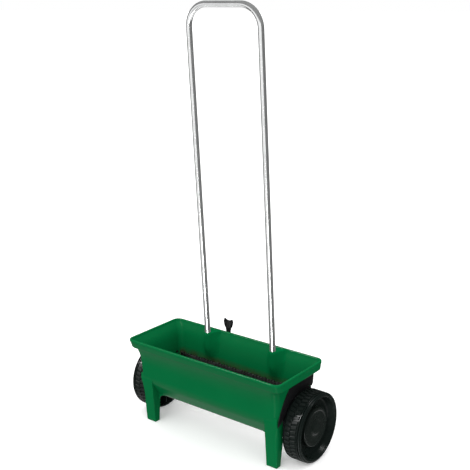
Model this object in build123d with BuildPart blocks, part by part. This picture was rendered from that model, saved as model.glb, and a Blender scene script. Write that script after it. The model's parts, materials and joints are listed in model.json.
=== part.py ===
from build123d import *
import math
import os

# Garden drop spreader: a green hopper with two feet in front, two wheels behind the feet, a bent tube handle,
# a spreading axle that turns an agitator in a black metering trough, and a lever that works a
# sliding shutter.
# Millimetres. +X is the right end, -Y is the front with the feet, +Z is up. The origin is on the ground,
# under the middle of the whole object.

# ---------------------------------------------------------------- driving dimensions
# Hopper
RIM_LENGTH = 510.0
RIM_FRONT_Y = -118.5
RIM_REAR_Y = 97.0
RIM_TOP_Z = 253.0
RIM_BAND_HEIGHT = 26.0
RIM_RADIUS = 20.0
WALL = 3.0
# Outside of the body, from the rim down: height, half length, front, rear, corner radius
BODY_SECTIONS = (
    (RIM_TOP_Z - RIM_BAND_HEIGHT, 238.0, -97.5, 81.0, 18.0),
    (127.0, 232.4, -87.9, 77.0, 16.0),
    (82.0, 229.9, -58.6, 60.0, 12.0),
    (58.0, 228.5, -6.0, 48.0, 5.0),
)
FLOOR_Z = BODY_SECTIONS[-1][0]

# Feet
FOOT_OUTER_X = 225.5
FOOT_INNER_X = 192.5
FOOT_FRONT_Y = -75.7
FOOT_DEPTH = 17.1
SOLE_HEIGHT = 12.0
LEG_WALL = 4.0
LEG_TOP_Z = 135.0
LEG_TOP_DEPTH = FOOT_DEPTH + 22.0
GUSSET_RADIUS = 22.0
LEG_LEAN = (BODY_SECTIONS[0][2] - FOOT_FRONT_Y) / BODY_SECTIONS[0][0]
LEG_SPREAD = (BODY_SECTIONS[0][1] - FOOT_OUTER_X) / BODY_SECTIONS[0][0]

# Wheels and axle
WHEEL_RADIUS = 94.0
AXLE_Y = 24.5
AXLE_Z = WHEEL_RADIUS
AXLE_RADIUS = 5.0
AXLE_HALF_LENGTH = 273.0
WHEEL_INNER_X = 236.0
WHEEL_OUTER_X = 288.5
HUB_RADIUS = 14.0
HUB_CAP_RADIUS = 50.0

# Bearing plates, which lie in round pockets of the end walls
POCKET_FLOOR_X = 229.0
POCKET_RADIUS = 98.0
PLATE_THICKNESS = 3.0
PLATE_RADIUS = 96.5
PLATE_RIVETS = ((-62.0, 30.0), (-40.0, 78.0), (34.0, 70.0), (31.0, 15.0))
PLATE_RIVET_SHANK = 2.0
BUSH_RADIUS = 8.0

# Handle
TUBE_RADIUS = 8.0
TUBE_WALL = 0.8
HANDLE_HALF_SPREAD = 112.3
HANDLE_BASE_Y = 63.5
HANDLE_TOP_Y = -9.3
HANDLE_TOP_Z = 1155.5
HANDLE_BEND = 58.0
SOCKET_RADIUS = 12.5
SOCKET_TOP_Z = 251.5
SOCKET_FOOT_Z = 154.0
TUBE_FOOT_Z = 165.0
SOCKET_PAD_WIDTH = 46.0
SOCKET_PAD_FRONT_Y = 68.0
SOCKET_PAD_DEPTH = 10.0
HANDLE_SCREW_Z = 206.0
HANDLE_SCREW_SHANK = 2.5

# Metering trough and agitator
TROUGH_HALF_LENGTH = 221.0
TROUGH_WALL = 2.5
TROUGH_RADIUS = 26.0
TROUGH_REAR_TOP_Z = 163.0
TROUGH_FRONT_TOP_Z = 140.0
# Short upright ribs along the top of the rear slope
TROUGH_RIB_COUNT = 36
TROUGH_RIB_PITCH = 12.0
TROUGH_RIB_WIDTH = 2.0
TROUGH_RIB_STAND = 3.4
TROUGH_RIB_DROP = 16.0
TROUGH_RIB_RISE = 3.0
AGITATOR_RADIUS = 21.5
OUTLET_COUNT = 11
OUTLET_PITCH = 36.0
OUTLET_LENGTH = 17.0
OUTLET_WIDTH = 14.0
OUTLET_CORNER = 3.0
OUTLET_BLOCK_LENGTH = OUTLET_COUNT * OUTLET_PITCH + 3.4
OUTLET_BLOCK_WIDTH = 23.4

# Shutter and lever
SHUTTER_TRAVEL = 9.0
SHUTTER_TOP_Z = 57.3
SHUTTER_THICKNESS = 2.4
SHUTTER_HALF_LENGTH = 212.0
SHUTTER_HALF_WIDTH = 18.0
LEVER_X = -69.0
LEVER_FRONT_Y = 102.0
LEVER_THICKNESS = 4.0
LEVER_PIVOT_Z = 100.0
LEVER_PEG_Z = SHUTTER_TOP_Z - SHUTTER_THICKNESS / 2
LEVER_PEG_RADIUS = 5.0
LEVER_TOP_Z = 289.0
LEVER_HEAD_WIDTH = 29.0
LEVER_STEM_WIDTH = 10.0

# Gaps on the radius: between pieces that turn or slide in each other, and between pieces that are pressed in
RUNNING_GAP = 0.05
PRESSED_GAP = 0.02
TIGHT_GAP = 0.01
# Gap between pieces that move past each other in the open
CLEARANCE = 0.4
# Longer than any wall or boss that a hole goes through
THROUGH = 20.0

SIDES = (-1, 1)
SIDE_NAMES = {-1: "left", 1: "right"}
AXLE_PLANE = Plane(origin=(0, AXLE_Y, AXLE_Z), x_dir=(0, 1, 0), z_dir=(1, 0, 0))


def at_x(x):
    """The plane across the axle at x: its own x runs to the rear and its own y runs up."""
    return AXLE_PLANE.offset(x)


def body_outlines(inset):
    """The stacked outlines of the body, from the rim down, drawn in by inset all round."""
    outlines = []
    for height, half_length, front, rear, radius in BODY_SECTIONS:
        floor = inset if height == FLOOR_Z else 0
        with BuildSketch(Plane.XY.offset(height + floor)) as outline:
            with Locations((0, (front + rear) / 2)):
                RectangleRounded(2 * (half_length - inset), rear - front - 2 * inset, radius - inset + 0.5)
        outlines.append(outline.sketch)
    return outlines


def front_face_y(z):
    """Front of the legs and of the upper front wall at a height."""
    return FOOT_FRONT_Y + LEG_LEAN * z


def leg_outer_x(z):
    return FOOT_OUTER_X + LEG_SPREAD * z


HANDLE_LEAN = math.atan2(HANDLE_BASE_Y - HANDLE_TOP_Y, HANDLE_TOP_Z - RIM_TOP_Z)


def handle_y(z):
    """Centreline of the straight handle tubes at a height."""
    return HANDLE_BASE_Y + math.tan(HANDLE_LEAN) * (RIM_TOP_Z - z)


def socket_plane(side, z):
    """The plane across one handle tube at a height, looking up the tube."""
    up = (0, -math.sin(HANDLE_LEAN), math.cos(HANDLE_LEAN))
    return Plane(origin=(side * HANDLE_HALF_SPREAD, handle_y(z), z), x_dir=(1, 0, 0), z_dir=up)


os.makedirs("parts", exist_ok=True)

# ---------------------------------------------------------------- hopper shell
with BuildPart() as body_outside:
    loft(body_outlines(0), ruled=True)

with BuildPart() as body_inside:
    loft(body_outlines(WALL), ruled=True)
    for side in SIDES:
        with BuildSketch(at_x(side * (POCKET_FLOOR_X - WALL))):
            Circle(POCKET_RADIUS + WALL)
        extrude(amount=side * THROUGH, mode=Mode.SUBTRACT)

RIM_MIDDLE_Y = (RIM_FRONT_Y + RIM_REAR_Y) / 2
RIM_DEPTH = RIM_REAR_Y - RIM_FRONT_Y
BAND_FOOT_Z = RIM_TOP_Z - RIM_BAND_HEIGHT

with BuildPart() as legs:
    for side in SIDES:
        # the leg grows deeper towards the top, where it runs into the sloping front wall
        for height, depth in ((0.0, FOOT_DEPTH), (LEG_TOP_Z, LEG_TOP_DEPTH)):
            middle = side * (leg_outer_x(height) + FOOT_INNER_X) / 2
            with BuildSketch(Plane.XY.offset(height)):
                with Locations((middle, front_face_y(height) + depth / 2)):
                    RectangleRounded(leg_outer_x(height) - FOOT_INNER_X, depth, 3.0)
        loft(ruled=True)
    for side in SIDES:
        # open channel at the back of the leg, over a closed sole
        for height, depth in ((SOLE_HEIGHT, FOOT_DEPTH), (LEG_TOP_Z, LEG_TOP_DEPTH)):
            middle = side * (leg_outer_x(height) + FOOT_INNER_X) / 2
            with BuildSketch(Plane.XY.offset(height)):
                with Locations((middle, front_face_y(height) + LEG_WALL + depth)):
                    Rectangle(leg_outer_x(height) - FOOT_INNER_X - 2 * LEG_WALL, 2 * depth)
        loft(ruled=True, mode=Mode.SUBTRACT)
    # quarter-round gusset between each leg and the foot of the front wall, run on into both
    toe_z = BODY_SECTIONS[2][0]
    run_on_x = 4.0
    run_on_z = 8.0
    for side in SIDES:
        with BuildSketch(Plane.XZ.offset(-BODY_SECTIONS[2][2])):
            with BuildLine():
                start = (side * (FOOT_INNER_X + run_on_x), toe_z + run_on_z)
                low = (side * (FOOT_INNER_X + run_on_x), toe_z - GUSSET_RADIUS)
                low_edge = (side * FOOT_INNER_X, toe_z - GUSSET_RADIUS)
                high_edge = (side * (FOOT_INNER_X - GUSSET_RADIUS), toe_z)
                high = (side * (FOOT_INNER_X - GUSSET_RADIUS), toe_z + run_on_z)
                Polyline(high, start, low, low_edge)
                RadiusArc(low_edge, high_edge, -side * GUSSET_RADIUS)
                Line(high_edge, high)
            make_face()
        extrude(amount=-WALL)

with BuildPart() as hopper:
    add(body_outside.part)
    # rim band, standing out from the body over a flat ledge
    with BuildSketch(Plane.XY.offset(BAND_FOOT_Z)):
        with Locations((0, RIM_MIDDLE_Y)):
            RectangleRounded(RIM_LENGTH, RIM_DEPTH, RIM_RADIUS)
    extrude(amount=RIM_BAND_HEIGHT)
    add(legs.part)
    with BuildSketch(Plane.XY.offset(BAND_FOOT_Z + WALL)):
        with Locations((0, RIM_MIDDLE_Y)):
            RectangleRounded(RIM_LENGTH - 2 * WALL, RIM_DEPTH - 2 * WALL, RIM_RADIUS - WALL)
    extrude(amount=RIM_BAND_HEIGHT, mode=Mode.SUBTRACT)
    add(body_inside.part, mode=Mode.SUBTRACT)
    with BuildSketch(Plane.XY.offset(BAND_FOOT_Z - 1)):
        with Locations((0, (BODY_SECTIONS[0][2] + BODY_SECTIONS[0][3]) / 2)):
            RectangleRounded(
                2 * (BODY_SECTIONS[0][1] - WALL),
                BODY_SECTIONS[0][3] - BODY_SECTIONS[0][2] - 2 * WALL,
                BODY_SECTIONS[0][4] - WALL,
            )
    extrude(amount=WALL + 2, mode=Mode.SUBTRACT)
    # rounded top lip
    rim_edges = hopper.edges().filter_by_position(Axis.Z, RIM_TOP_Z - 0.01, RIM_TOP_Z + 0.01)
    fillet(rim_edges, WALL / 2 - 0.1)
    # round pockets for the bearing plates, clear of the wheels
    for side in SIDES:
        with BuildSketch(at_x(side * POCKET_FLOOR_X)):
            Circle(POCKET_RADIUS)
        extrude(amount=side * THROUGH, mode=Mode.SUBTRACT)
        with BuildSketch(at_x(side * (POCKET_FLOOR_X - 2 * WALL))):
            Circle(BUSH_RADIUS + RUNNING_GAP)
            with Locations(*PLATE_RIVETS):
                Circle(PLATE_RIVET_SHANK + RUNNING_GAP)
        extrude(amount=side * THROUGH, mode=Mode.SUBTRACT)
    # handle sockets: a flat pad on the rear wall, deeper inside the rim, and a round column in front of it
    rim_pad_rear_y = RIM_REAR_Y - WALL / 2
    for side in SIDES:
        with BuildSketch(Plane.XY.offset(SOCKET_FOOT_Z)):
            with Locations((side * HANDLE_HALF_SPREAD, SOCKET_PAD_FRONT_Y + SOCKET_PAD_DEPTH / 2)):
                RectangleRounded(SOCKET_PAD_WIDTH, SOCKET_PAD_DEPTH, 4.0)
        extrude(amount=SOCKET_TOP_Z - SOCKET_FOOT_Z)
        rim_pad_front_y = SOCKET_PAD_FRONT_Y + SOCKET_PAD_DEPTH / 2
        with BuildSketch(Plane.XY.offset(BAND_FOOT_Z)):
            with Locations((side * HANDLE_HALF_SPREAD, (rim_pad_front_y + rim_pad_rear_y) / 2)):
                Rectangle(SOCKET_PAD_WIDTH, rim_pad_rear_y - rim_pad_front_y)
        extrude(amount=SOCKET_TOP_Z - BAND_FOOT_Z)
        # the pad inside the rim is hollow from below
        hollow_front_y = BODY_SECTIONS[0][3] + WALL
        hollow_rear_y = RIM_REAR_Y - WALL - 1.0
        with BuildSketch(Plane.XY.offset(BAND_FOOT_Z - 1)):
            with Locations((side * HANDLE_HALF_SPREAD, (hollow_front_y + hollow_rear_y) / 2)):
                Rectangle(SOCKET_PAD_WIDTH - 2 * WALL, hollow_rear_y - hollow_front_y)
        extrude(amount=SOCKET_TOP_Z - BAND_FOOT_Z - WALL + 1, mode=Mode.SUBTRACT)
        with BuildSketch(socket_plane(side, SOCKET_FOOT_Z)):
            Circle(SOCKET_RADIUS)
        extrude(amount=(SOCKET_TOP_Z - SOCKET_FOOT_Z) / math.cos(HANDLE_LEAN))
        with BuildSketch(socket_plane(side, TUBE_FOOT_Z)):
            Circle(TUBE_RADIUS + RUNNING_GAP)
        extrude(amount=RIM_TOP_Z - SOCKET_FOOT_Z, mode=Mode.SUBTRACT)
        with BuildSketch(Plane.XZ.offset(-handle_y(HANDLE_SCREW_Z))):
            with Locations((side * HANDLE_HALF_SPREAD, HANDLE_SCREW_Z)):
                Circle(HANDLE_SCREW_SHANK + RUNNING_GAP)
        extrude(amount=-1.5 * THROUGH, mode=Mode.SUBTRACT)
    # outlet slot in the floor, with a narrow gap round the block that fills it
    block_gap = 0.3
    with BuildSketch(Plane.XY.offset(FLOOR_Z - 1)):
        with Locations((0, AXLE_Y)):
            Rectangle(OUTLET_BLOCK_LENGTH + 2 * block_gap, OUTLET_BLOCK_WIDTH + 2 * block_gap)
    extrude(amount=WALL + 2, mode=Mode.SUBTRACT)

# ---------------------------------------------------------------- metering trough
# outline of the trough sheet across the axle: y to the rear, z up, both from the axle
TROUGH_OUTER = TROUGH_RADIUS + TROUGH_WALL
TROUGH_SLOPE = math.radians(12)
REAR_TOP = (47.5, TROUGH_REAR_TOP_Z - AXLE_Z)
REAR_KNEE = (45.5, 36.0)
FRONT_TOP = (-104.0, TROUGH_FRONT_TOP_Z - AXLE_Z)
FRONT_INNER = (-TROUGH_RADIUS * math.cos(TROUGH_SLOPE), TROUGH_RADIUS * math.sin(TROUGH_SLOPE))
FRONT_OUTER = (-TROUGH_OUTER * math.cos(TROUGH_SLOPE), TROUGH_OUTER * math.sin(TROUGH_SLOPE))

SHEET_HALF_LENGTH = TROUGH_HALF_LENGTH - TROUGH_WALL

# half-round channel under the agitator, with the outlet slots
with BuildPart() as metering_trough:
    with BuildSketch(at_x(-SHEET_HALF_LENGTH)):
        with BuildLine():
            Line(FRONT_OUTER, FRONT_INNER)
            ThreePointArc(FRONT_INNER, (0, -TROUGH_RADIUS), (TROUGH_RADIUS, 0))
            Line((TROUGH_RADIUS, 0), (TROUGH_OUTER, 0))
            ThreePointArc((TROUGH_OUTER, 0), (0, -TROUGH_OUTER), FRONT_OUTER)
        make_face()
    extrude(amount=2 * SHEET_HALF_LENGTH)
    # outlet block that passes through the floor of the hopper
    with BuildSketch(Plane.XY.offset(FLOOR_Z)):
        with Locations((0, AXLE_Y)):
            Rectangle(OUTLET_BLOCK_LENGTH, OUTLET_BLOCK_WIDTH)
    extrude(amount=12.0)
    with BuildSketch(at_x(-TROUGH_HALF_LENGTH)):
        Circle(TROUGH_RADIUS)
    extrude(amount=2 * TROUGH_HALF_LENGTH, mode=Mode.SUBTRACT)
    with BuildSketch(Plane.XY.offset(FLOOR_Z - 1)):
        with Locations((0, AXLE_Y)):
            with GridLocations(OUTLET_PITCH, 1, OUTLET_COUNT, 1):
                RectangleRounded(OUTLET_LENGTH, OUTLET_WIDTH, OUTLET_CORNER)
    extrude(amount=THROUGH, mode=Mode.SUBTRACT)

# sloping sheet from the channel to the front wall
with BuildPart() as trough_apron:
    with BuildSketch(at_x(-SHEET_HALF_LENGTH)):
        with BuildLine():
            Polyline(
                FRONT_OUTER,
                FRONT_TOP,
                (FRONT_TOP[0] + 0.5, FRONT_TOP[1] + TROUGH_WALL),
                FRONT_INNER,
                close=True,
            )
        make_face()
    extrude(amount=2 * SHEET_HALF_LENGTH)

# bent sheet from the channel up the rear wall, with short ribs along its top
with BuildPart() as trough_rear_sheet:
    with BuildSketch(at_x(-SHEET_HALF_LENGTH)):
        with BuildLine():
            Polyline(
                (TROUGH_RADIUS, 0),
                (REAR_KNEE[0] - TROUGH_WALL, REAR_KNEE[1]),
                (REAR_TOP[0] - TROUGH_WALL, REAR_TOP[1]),
                REAR_TOP,
                REAR_KNEE,
                (TROUGH_OUTER, 0),
                close=True,
            )
        make_face()
    extrude(amount=2 * SHEET_HALF_LENGTH)
    with BuildSketch(Plane.XY.offset(TROUGH_REAR_TOP_Z - TROUGH_RIB_DROP)):
        with Locations((0, AXLE_Y + REAR_TOP[0] - TROUGH_WALL - TROUGH_RIB_STAND / 2 + 0.1)):
            with GridLocations(TROUGH_RIB_PITCH, 1, TROUGH_RIB_COUNT, 1):
                Rectangle(TROUGH_RIB_WIDTH, TROUGH_RIB_STAND)
    extrude(amount=TROUGH_RIB_DROP + TROUGH_RIB_RISE)
    # room for the two handle sockets
    for side in SIDES:
        with BuildSketch(Plane.XY.offset(SOCKET_FOOT_Z - 3)):
            with Locations((side * HANDLE_HALF_SPREAD, HANDLE_BASE_Y)):
                Rectangle(SOCKET_PAD_WIDTH + 3.0, 44.0)
        extrude(amount=40.0, mode=Mode.SUBTRACT)

# end cheeks around the axle, which close the ends of the channel
with BuildPart() as trough_cheeks:
    for side in SIDES:
        with BuildSketch(at_x(side * TROUGH_HALF_LENGTH)):
            Circle(TROUGH_OUTER)
            Circle(AXLE_RADIUS + 2.0, mode=Mode.SUBTRACT)
        extrude(amount=-side * TROUGH_WALL)

# ---------------------------------------------------------------- handle
HANDLE_RISE = (HANDLE_TOP_Z - RIM_TOP_Z) / math.cos(HANDLE_LEAN)
TUBE_DROP = (RIM_TOP_Z - TUBE_FOOT_Z) / math.cos(HANDLE_LEAN) - 0.5
HANDLE_PLANE = Plane(
    origin=(0, HANDLE_BASE_Y, RIM_TOP_Z),
    x_dir=(1, 0, 0),
    z_dir=(0, -math.cos(HANDLE_LEAN), -math.sin(HANDLE_LEAN)),
)
with BuildPart() as handle_tube:
    with BuildLine(HANDLE_PLANE) as handle_path:
        FilletPolyline(
            (-HANDLE_HALF_SPREAD, -TUBE_DROP),
            (-HANDLE_HALF_SPREAD, HANDLE_RISE),
            (HANDLE_HALF_SPREAD, HANDLE_RISE),
            (HANDLE_HALF_SPREAD, -TUBE_DROP),
            radius=HANDLE_BEND,
        )
    with BuildSketch(Plane(origin=handle_path.wire() @ 0, z_dir=handle_path.wire() % 0)):
        Circle(TUBE_RADIUS)
        Circle(TUBE_RADIUS - TUBE_WALL, mode=Mode.SUBTRACT)
    sweep(path=handle_path.wire())
    for side in SIDES:
        with BuildSketch(Plane.XZ.offset(-handle_y(HANDLE_SCREW_Z))):
            with Locations((side * HANDLE_HALF_SPREAD, HANDLE_SCREW_Z)):
                Circle(HANDLE_SCREW_SHANK + RUNNING_GAP)
        extrude(amount=-THROUGH, mode=Mode.SUBTRACT)

# ---------------------------------------------------------------- fasteners
def screw(head_radius, head_height, shank_radius, length):
    """Pan-head screw: head on +Z of the origin, shank down from it, cross recess in the head."""
    with BuildPart(mode=Mode.PRIVATE) as one:
        Cylinder(head_radius, head_height, align=(Align.CENTER, Align.CENTER, Align.MIN))
        fillet(one.edges().sort_by(Axis.Z)[-1], head_height * 0.55)
        Cylinder(shank_radius, length, align=(Align.CENTER, Align.CENTER, Align.MAX))
        with BuildSketch(Plane.XY.offset(head_height)):
            Rectangle(head_radius, head_radius * 0.24)
            Rectangle(head_radius * 0.24, head_radius)
        extrude(amount=-head_height * 0.5, mode=Mode.SUBTRACT)
    return one.part


def rivet(head_radius, shank_radius, grip):
    """Rivet with a domed head at each end of its grip, which runs down from the origin."""
    height = head_radius * 0.5
    with BuildPart(mode=Mode.PRIVATE) as one:
        Cylinder(head_radius, height, align=(Align.CENTER, Align.CENTER, Align.MIN))
        fillet(one.edges().sort_by(Axis.Z)[-1], height * 0.8)
        Cylinder(shank_radius, grip, align=(Align.CENTER, Align.CENTER, Align.MAX))
        with Locations((0, 0, -grip)):
            Cylinder(head_radius * 0.8, height, align=(Align.CENTER, Align.CENTER, Align.MAX))
    return one.part


def placed(piece, *planes):
    """Copies of a piece, one on each plane, as separate solids of one part."""
    return Part(children=[plane.location * piece for plane in planes])


REAR_OUTER_Y = BODY_SECTIONS[0][3]
handle_screw_face = handle_y(HANDLE_SCREW_Z) + SOCKET_RADIUS / math.cos(HANDLE_LEAN) + 0.7
handle_screws = placed(
    screw(5.0, 3.2, HANDLE_SCREW_SHANK, handle_screw_face - handle_y(HANDLE_SCREW_Z)),
    *[
        Plane(origin=(side * HANDLE_HALF_SPREAD, handle_screw_face, HANDLE_SCREW_Z), z_dir=(0, 1, 0))
        for side in SIDES
    ],
)

# ---------------------------------------------------------------- bearing plates and bushes
# outline before it is cut to a circle: y to the rear and z up, both from the axle
PLATE_OUTLINE = (
    (-82.0, 33.0), (-88.0, 60.0), (-88.0, 97.0), (47.0, 97.0), (47.0, 6.0), (31.0, -14.0), (17.0, -29.0),
    (-34.0, -29.0), (-76.0, -8.0),
)
PLATE_BOSS_RADIUS = 17.0
PLATE_BOSS_HEIGHT = 2.4
bearing_plates = {}
for side in SIDES:
    with BuildPart() as bearing_plate:
        with BuildSketch(at_x(side * POCKET_FLOOR_X)):
            with BuildLine():
                Polyline(*PLATE_OUTLINE, close=True)
            make_face()
            Circle(PLATE_RADIUS, mode=Mode.INTERSECT)
        extrude(amount=side * PLATE_THICKNESS)
        with BuildSketch(at_x(side * POCKET_FLOOR_X)):
            Circle(PLATE_BOSS_RADIUS)
        extrude(amount=side * (PLATE_THICKNESS + PLATE_BOSS_HEIGHT))
        with BuildSketch(at_x(side * (POCKET_FLOOR_X - 1))):
            Circle(BUSH_RADIUS + PRESSED_GAP)
            with Locations(*PLATE_RIVETS):
                Circle(PLATE_RIVET_SHANK + RUNNING_GAP)
        extrude(amount=side * THROUGH, mode=Mode.SUBTRACT)
    bearing_plate.part.label = "bearing_plate_" + SIDE_NAMES[side]
    bearing_plates[side] = bearing_plate.part

plate_rivet = rivet(3.6, PLATE_RIVET_SHANK, PLATE_THICKNESS + WALL)
bearing_plate_rivets = placed(
    plate_rivet,
    *[
        Plane(
            origin=(side * (POCKET_FLOOR_X + PLATE_THICKNESS), AXLE_Y + rivet_y, AXLE_Z + rivet_z),
            z_dir=(side, 0, 0),
        )
        for side in SIDES
        for rivet_y, rivet_z in PLATE_RIVETS
    ],
)

axle_bushes = {}
for side in SIDES:
    with BuildPart() as axle_bush:
        inner_face = POCKET_FLOOR_X - WALL
        with BuildSketch(at_x(side * inner_face)):
            Circle(BUSH_RADIUS)
        extrude(amount=side * (WALL + PLATE_THICKNESS + PLATE_BOSS_HEIGHT))
        with BuildSketch(at_x(side * inner_face)):
            Circle(BUSH_RADIUS + 3.5)
        extrude(amount=-side * 2.0)
        with BuildSketch(at_x(side * (inner_face - 5))):
            Circle(AXLE_RADIUS + RUNNING_GAP)
        extrude(amount=side * THROUGH, mode=Mode.SUBTRACT)
    axle_bush.part.label = "axle_bush_" + SIDE_NAMES[side]
    axle_bushes[side] = axle_bush.part

# ---------------------------------------------------------------- wheels
# half profile of the wheel: distance along the axle from the inner face, radius
WHEEL_WIDTH = WHEEL_OUTER_X - WHEEL_INNER_X
WEB_X = 24.0
WEB_THICKNESS = 3.5
HUB_FACE_X = 34.0
RECESS_RADIUS = 79.0
WHEEL_PROFILE = (
    (0.0, HUB_RADIUS), (0.0, 5.0), (HUB_FACE_X, 5.0), (HUB_FACE_X, HUB_RADIUS), (HUB_FACE_X - 4.0, 22.0),
    (WEB_X + WEB_THICKNESS, 46.0), (WEB_X + WEB_THICKNESS, 74.0), (WHEEL_WIDTH - 2.0, RECESS_RADIUS),
    (WHEEL_WIDTH, RECESS_RADIUS + 2.5), (WHEEL_WIDTH, 85.0), (WHEEL_WIDTH - 2.5, 88.0),
    (WHEEL_WIDTH - 5.5, 89.0), (WHEEL_WIDTH - 7.0, 91.5), (WHEEL_WIDTH - 12.0, WHEEL_RADIUS),
    (6.0, WHEEL_RADIUS), (0.0, 91.0), (0.0, 88.0),
    (WEB_X, 86.0), (WEB_X, HUB_RADIUS),
)
WHEEL_RIBS = 8
RIB_FACE_X = 4.0
RIB_INNER_RADIUS = HUB_RADIUS - 2.0
RIB_OUTER_RADIUS = 87.5
WHEEL_BUSH_RADIUS = 8.0
PIN_RADIUS = 2.0
PIN_X = 10.0


def wheel(side, bore_radius):
    """One moulded wheel with its hub, web, tread ring and the ribs behind the web."""
    with BuildPart() as moulding:
        with BuildSketch(Plane(origin=(0, 0, 0), x_dir=(1, 0, 0), z_dir=(0, 0, 1))):
            with BuildLine():
                Polyline(*[(side * along, radius) for along, radius in WHEEL_PROFILE], close=True)
            make_face()
        revolve(axis=Axis.X)
        for turn in range(WHEEL_RIBS):
            with BuildSketch(Plane(origin=(side * RIB_FACE_X, 0, 0), x_dir=(0, 1, 0), z_dir=(side, 0, 0))):
                with PolarLocations(0, 1, start_angle=turn * 360.0 / WHEEL_RIBS):
                    with Locations(((RIB_INNER_RADIUS + RIB_OUTER_RADIUS) / 2, 0)):
                        Rectangle(RIB_OUTER_RADIUS - RIB_INNER_RADIUS, 3.0)
            extrude(amount=WEB_X - RIB_FACE_X + 1.0)
        with BuildSketch(Plane.YZ.offset(-side)):
            Circle(bore_radius)
        extrude(amount=side * WHEEL_WIDTH, mode=Mode.SUBTRACT)
    return Plane(origin=(side * WHEEL_INNER_X, AXLE_Y, AXLE_Z)).location * moulding.part


wheel_left = wheel(-1, WHEEL_BUSH_RADIUS)
with BuildPart() as wheel_right:
    add(wheel(1, AXLE_RADIUS + TIGHT_GAP))
    with BuildSketch(Plane.XY.offset(AXLE_Z)):
        with Locations((WHEEL_INNER_X + PIN_X, AXLE_Y)):
            Circle(PIN_RADIUS + PRESSED_GAP)
    extrude(amount=THROUGH, both=True, mode=Mode.SUBTRACT)

with BuildPart() as wheel_drive_pin:
    with BuildSketch(Plane.XY.offset(AXLE_Z - HUB_RADIUS + 0.5)):
        with Locations((WHEEL_INNER_X + PIN_X, AXLE_Y)):
            Circle(PIN_RADIUS)
    extrude(amount=2 * HUB_RADIUS - 1.0)
    chamfer(wheel_drive_pin.edges(), 0.4)

# hub caps: a shallow dish with a raised centre, snapped over the hub
hub_caps = {}
CAP_PROFILE = (
    (WEB_X + WEB_THICKNESS, HUB_CAP_RADIUS), (42.0, HUB_CAP_RADIUS), (44.0, HUB_CAP_RADIUS - 2.0),
    (44.0, 42.0), (42.5, 40.0), (43.0, 22.0), (45.0, 20.0), (46.0, 17.0), (46.0, 0.0), (43.6, 0.0),
    (43.6, 15.5), (42.6, 18.2),
    (40.6, 20.4), (40.2, 39.0), (41.0, 40.5), (41.0, 46.0), (40.4, 47.6), (WEB_X + WEB_THICKNESS, 47.6),
)
for side in SIDES:
    with BuildPart() as hub_cap:
        with BuildSketch(Plane.XY):
            with BuildLine():
                Polyline(*[(side * along, radius) for along, radius in CAP_PROFILE], close=True)
            make_face()
        revolve(axis=Axis.X)
    cap = Plane(origin=(side * WHEEL_INNER_X, AXLE_Y, AXLE_Z)).location * hub_cap.part
    cap.label = "hub_cap_" + SIDE_NAMES[side]
    hub_caps[side] = cap

with BuildPart() as idle_wheel_bush:
    with BuildSketch(at_x(-WHEEL_INNER_X)):
        Circle(WHEEL_BUSH_RADIUS)
        Circle(AXLE_RADIUS + RUNNING_GAP, mode=Mode.SUBTRACT)
    extrude(amount=-HUB_FACE_X)

# ---------------------------------------------------------------- axle, washers and clips
CLIP_X = WHEEL_INNER_X + HUB_FACE_X + 1.0
CLIP_THICKNESS = 1.0
GROOVE_RADIUS = AXLE_RADIUS - 0.6
ROTOR_HALF_LENGTH = 212.0
ROTOR_PIN_X = ROTOR_HALF_LENGTH - 8.0
with BuildPart() as drive_axle:
    with BuildSketch(at_x(-AXLE_HALF_LENGTH)):
        Circle(AXLE_RADIUS)
    extrude(amount=2 * AXLE_HALF_LENGTH)
    chamfer(drive_axle.edges(), 0.8)
    for side in SIDES:
        with BuildSketch(at_x(side * CLIP_X)):
            Circle(AXLE_RADIUS + 1)
            Circle(GROOVE_RADIUS, mode=Mode.SUBTRACT)
        extrude(amount=side * (CLIP_THICKNESS + 0.1), mode=Mode.SUBTRACT)
    with BuildSketch(Plane.XY.offset(AXLE_Z)):
        with Locations(
            (WHEEL_INNER_X + PIN_X, AXLE_Y), (-ROTOR_PIN_X, AXLE_Y), (ROTOR_PIN_X, AXLE_Y)
        ):
            Circle(PIN_RADIUS + PRESSED_GAP)
    extrude(amount=THROUGH, both=True, mode=Mode.SUBTRACT)

with BuildPart() as retaining_clips:
    for side in SIDES:
        with BuildSketch(at_x(side * (CLIP_X + 0.05))):
            Circle(AXLE_RADIUS + 3.0)
            Circle(GROOVE_RADIUS, mode=Mode.SUBTRACT)
            with Locations((0, AXLE_RADIUS)):
                Rectangle(5.6, 9.0, mode=Mode.SUBTRACT)
        extrude(amount=side * CLIP_THICKNESS)

with BuildPart() as thrust_washers:
    for side in SIDES:
        with BuildSketch(at_x(side * (POCKET_FLOOR_X + PLATE_THICKNESS + PLATE_BOSS_HEIGHT + 0.35))):
            Circle(10.0)
            Circle(AXLE_RADIUS + TIGHT_GAP, mode=Mode.SUBTRACT)
        extrude(amount=side * 0.9)

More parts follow.
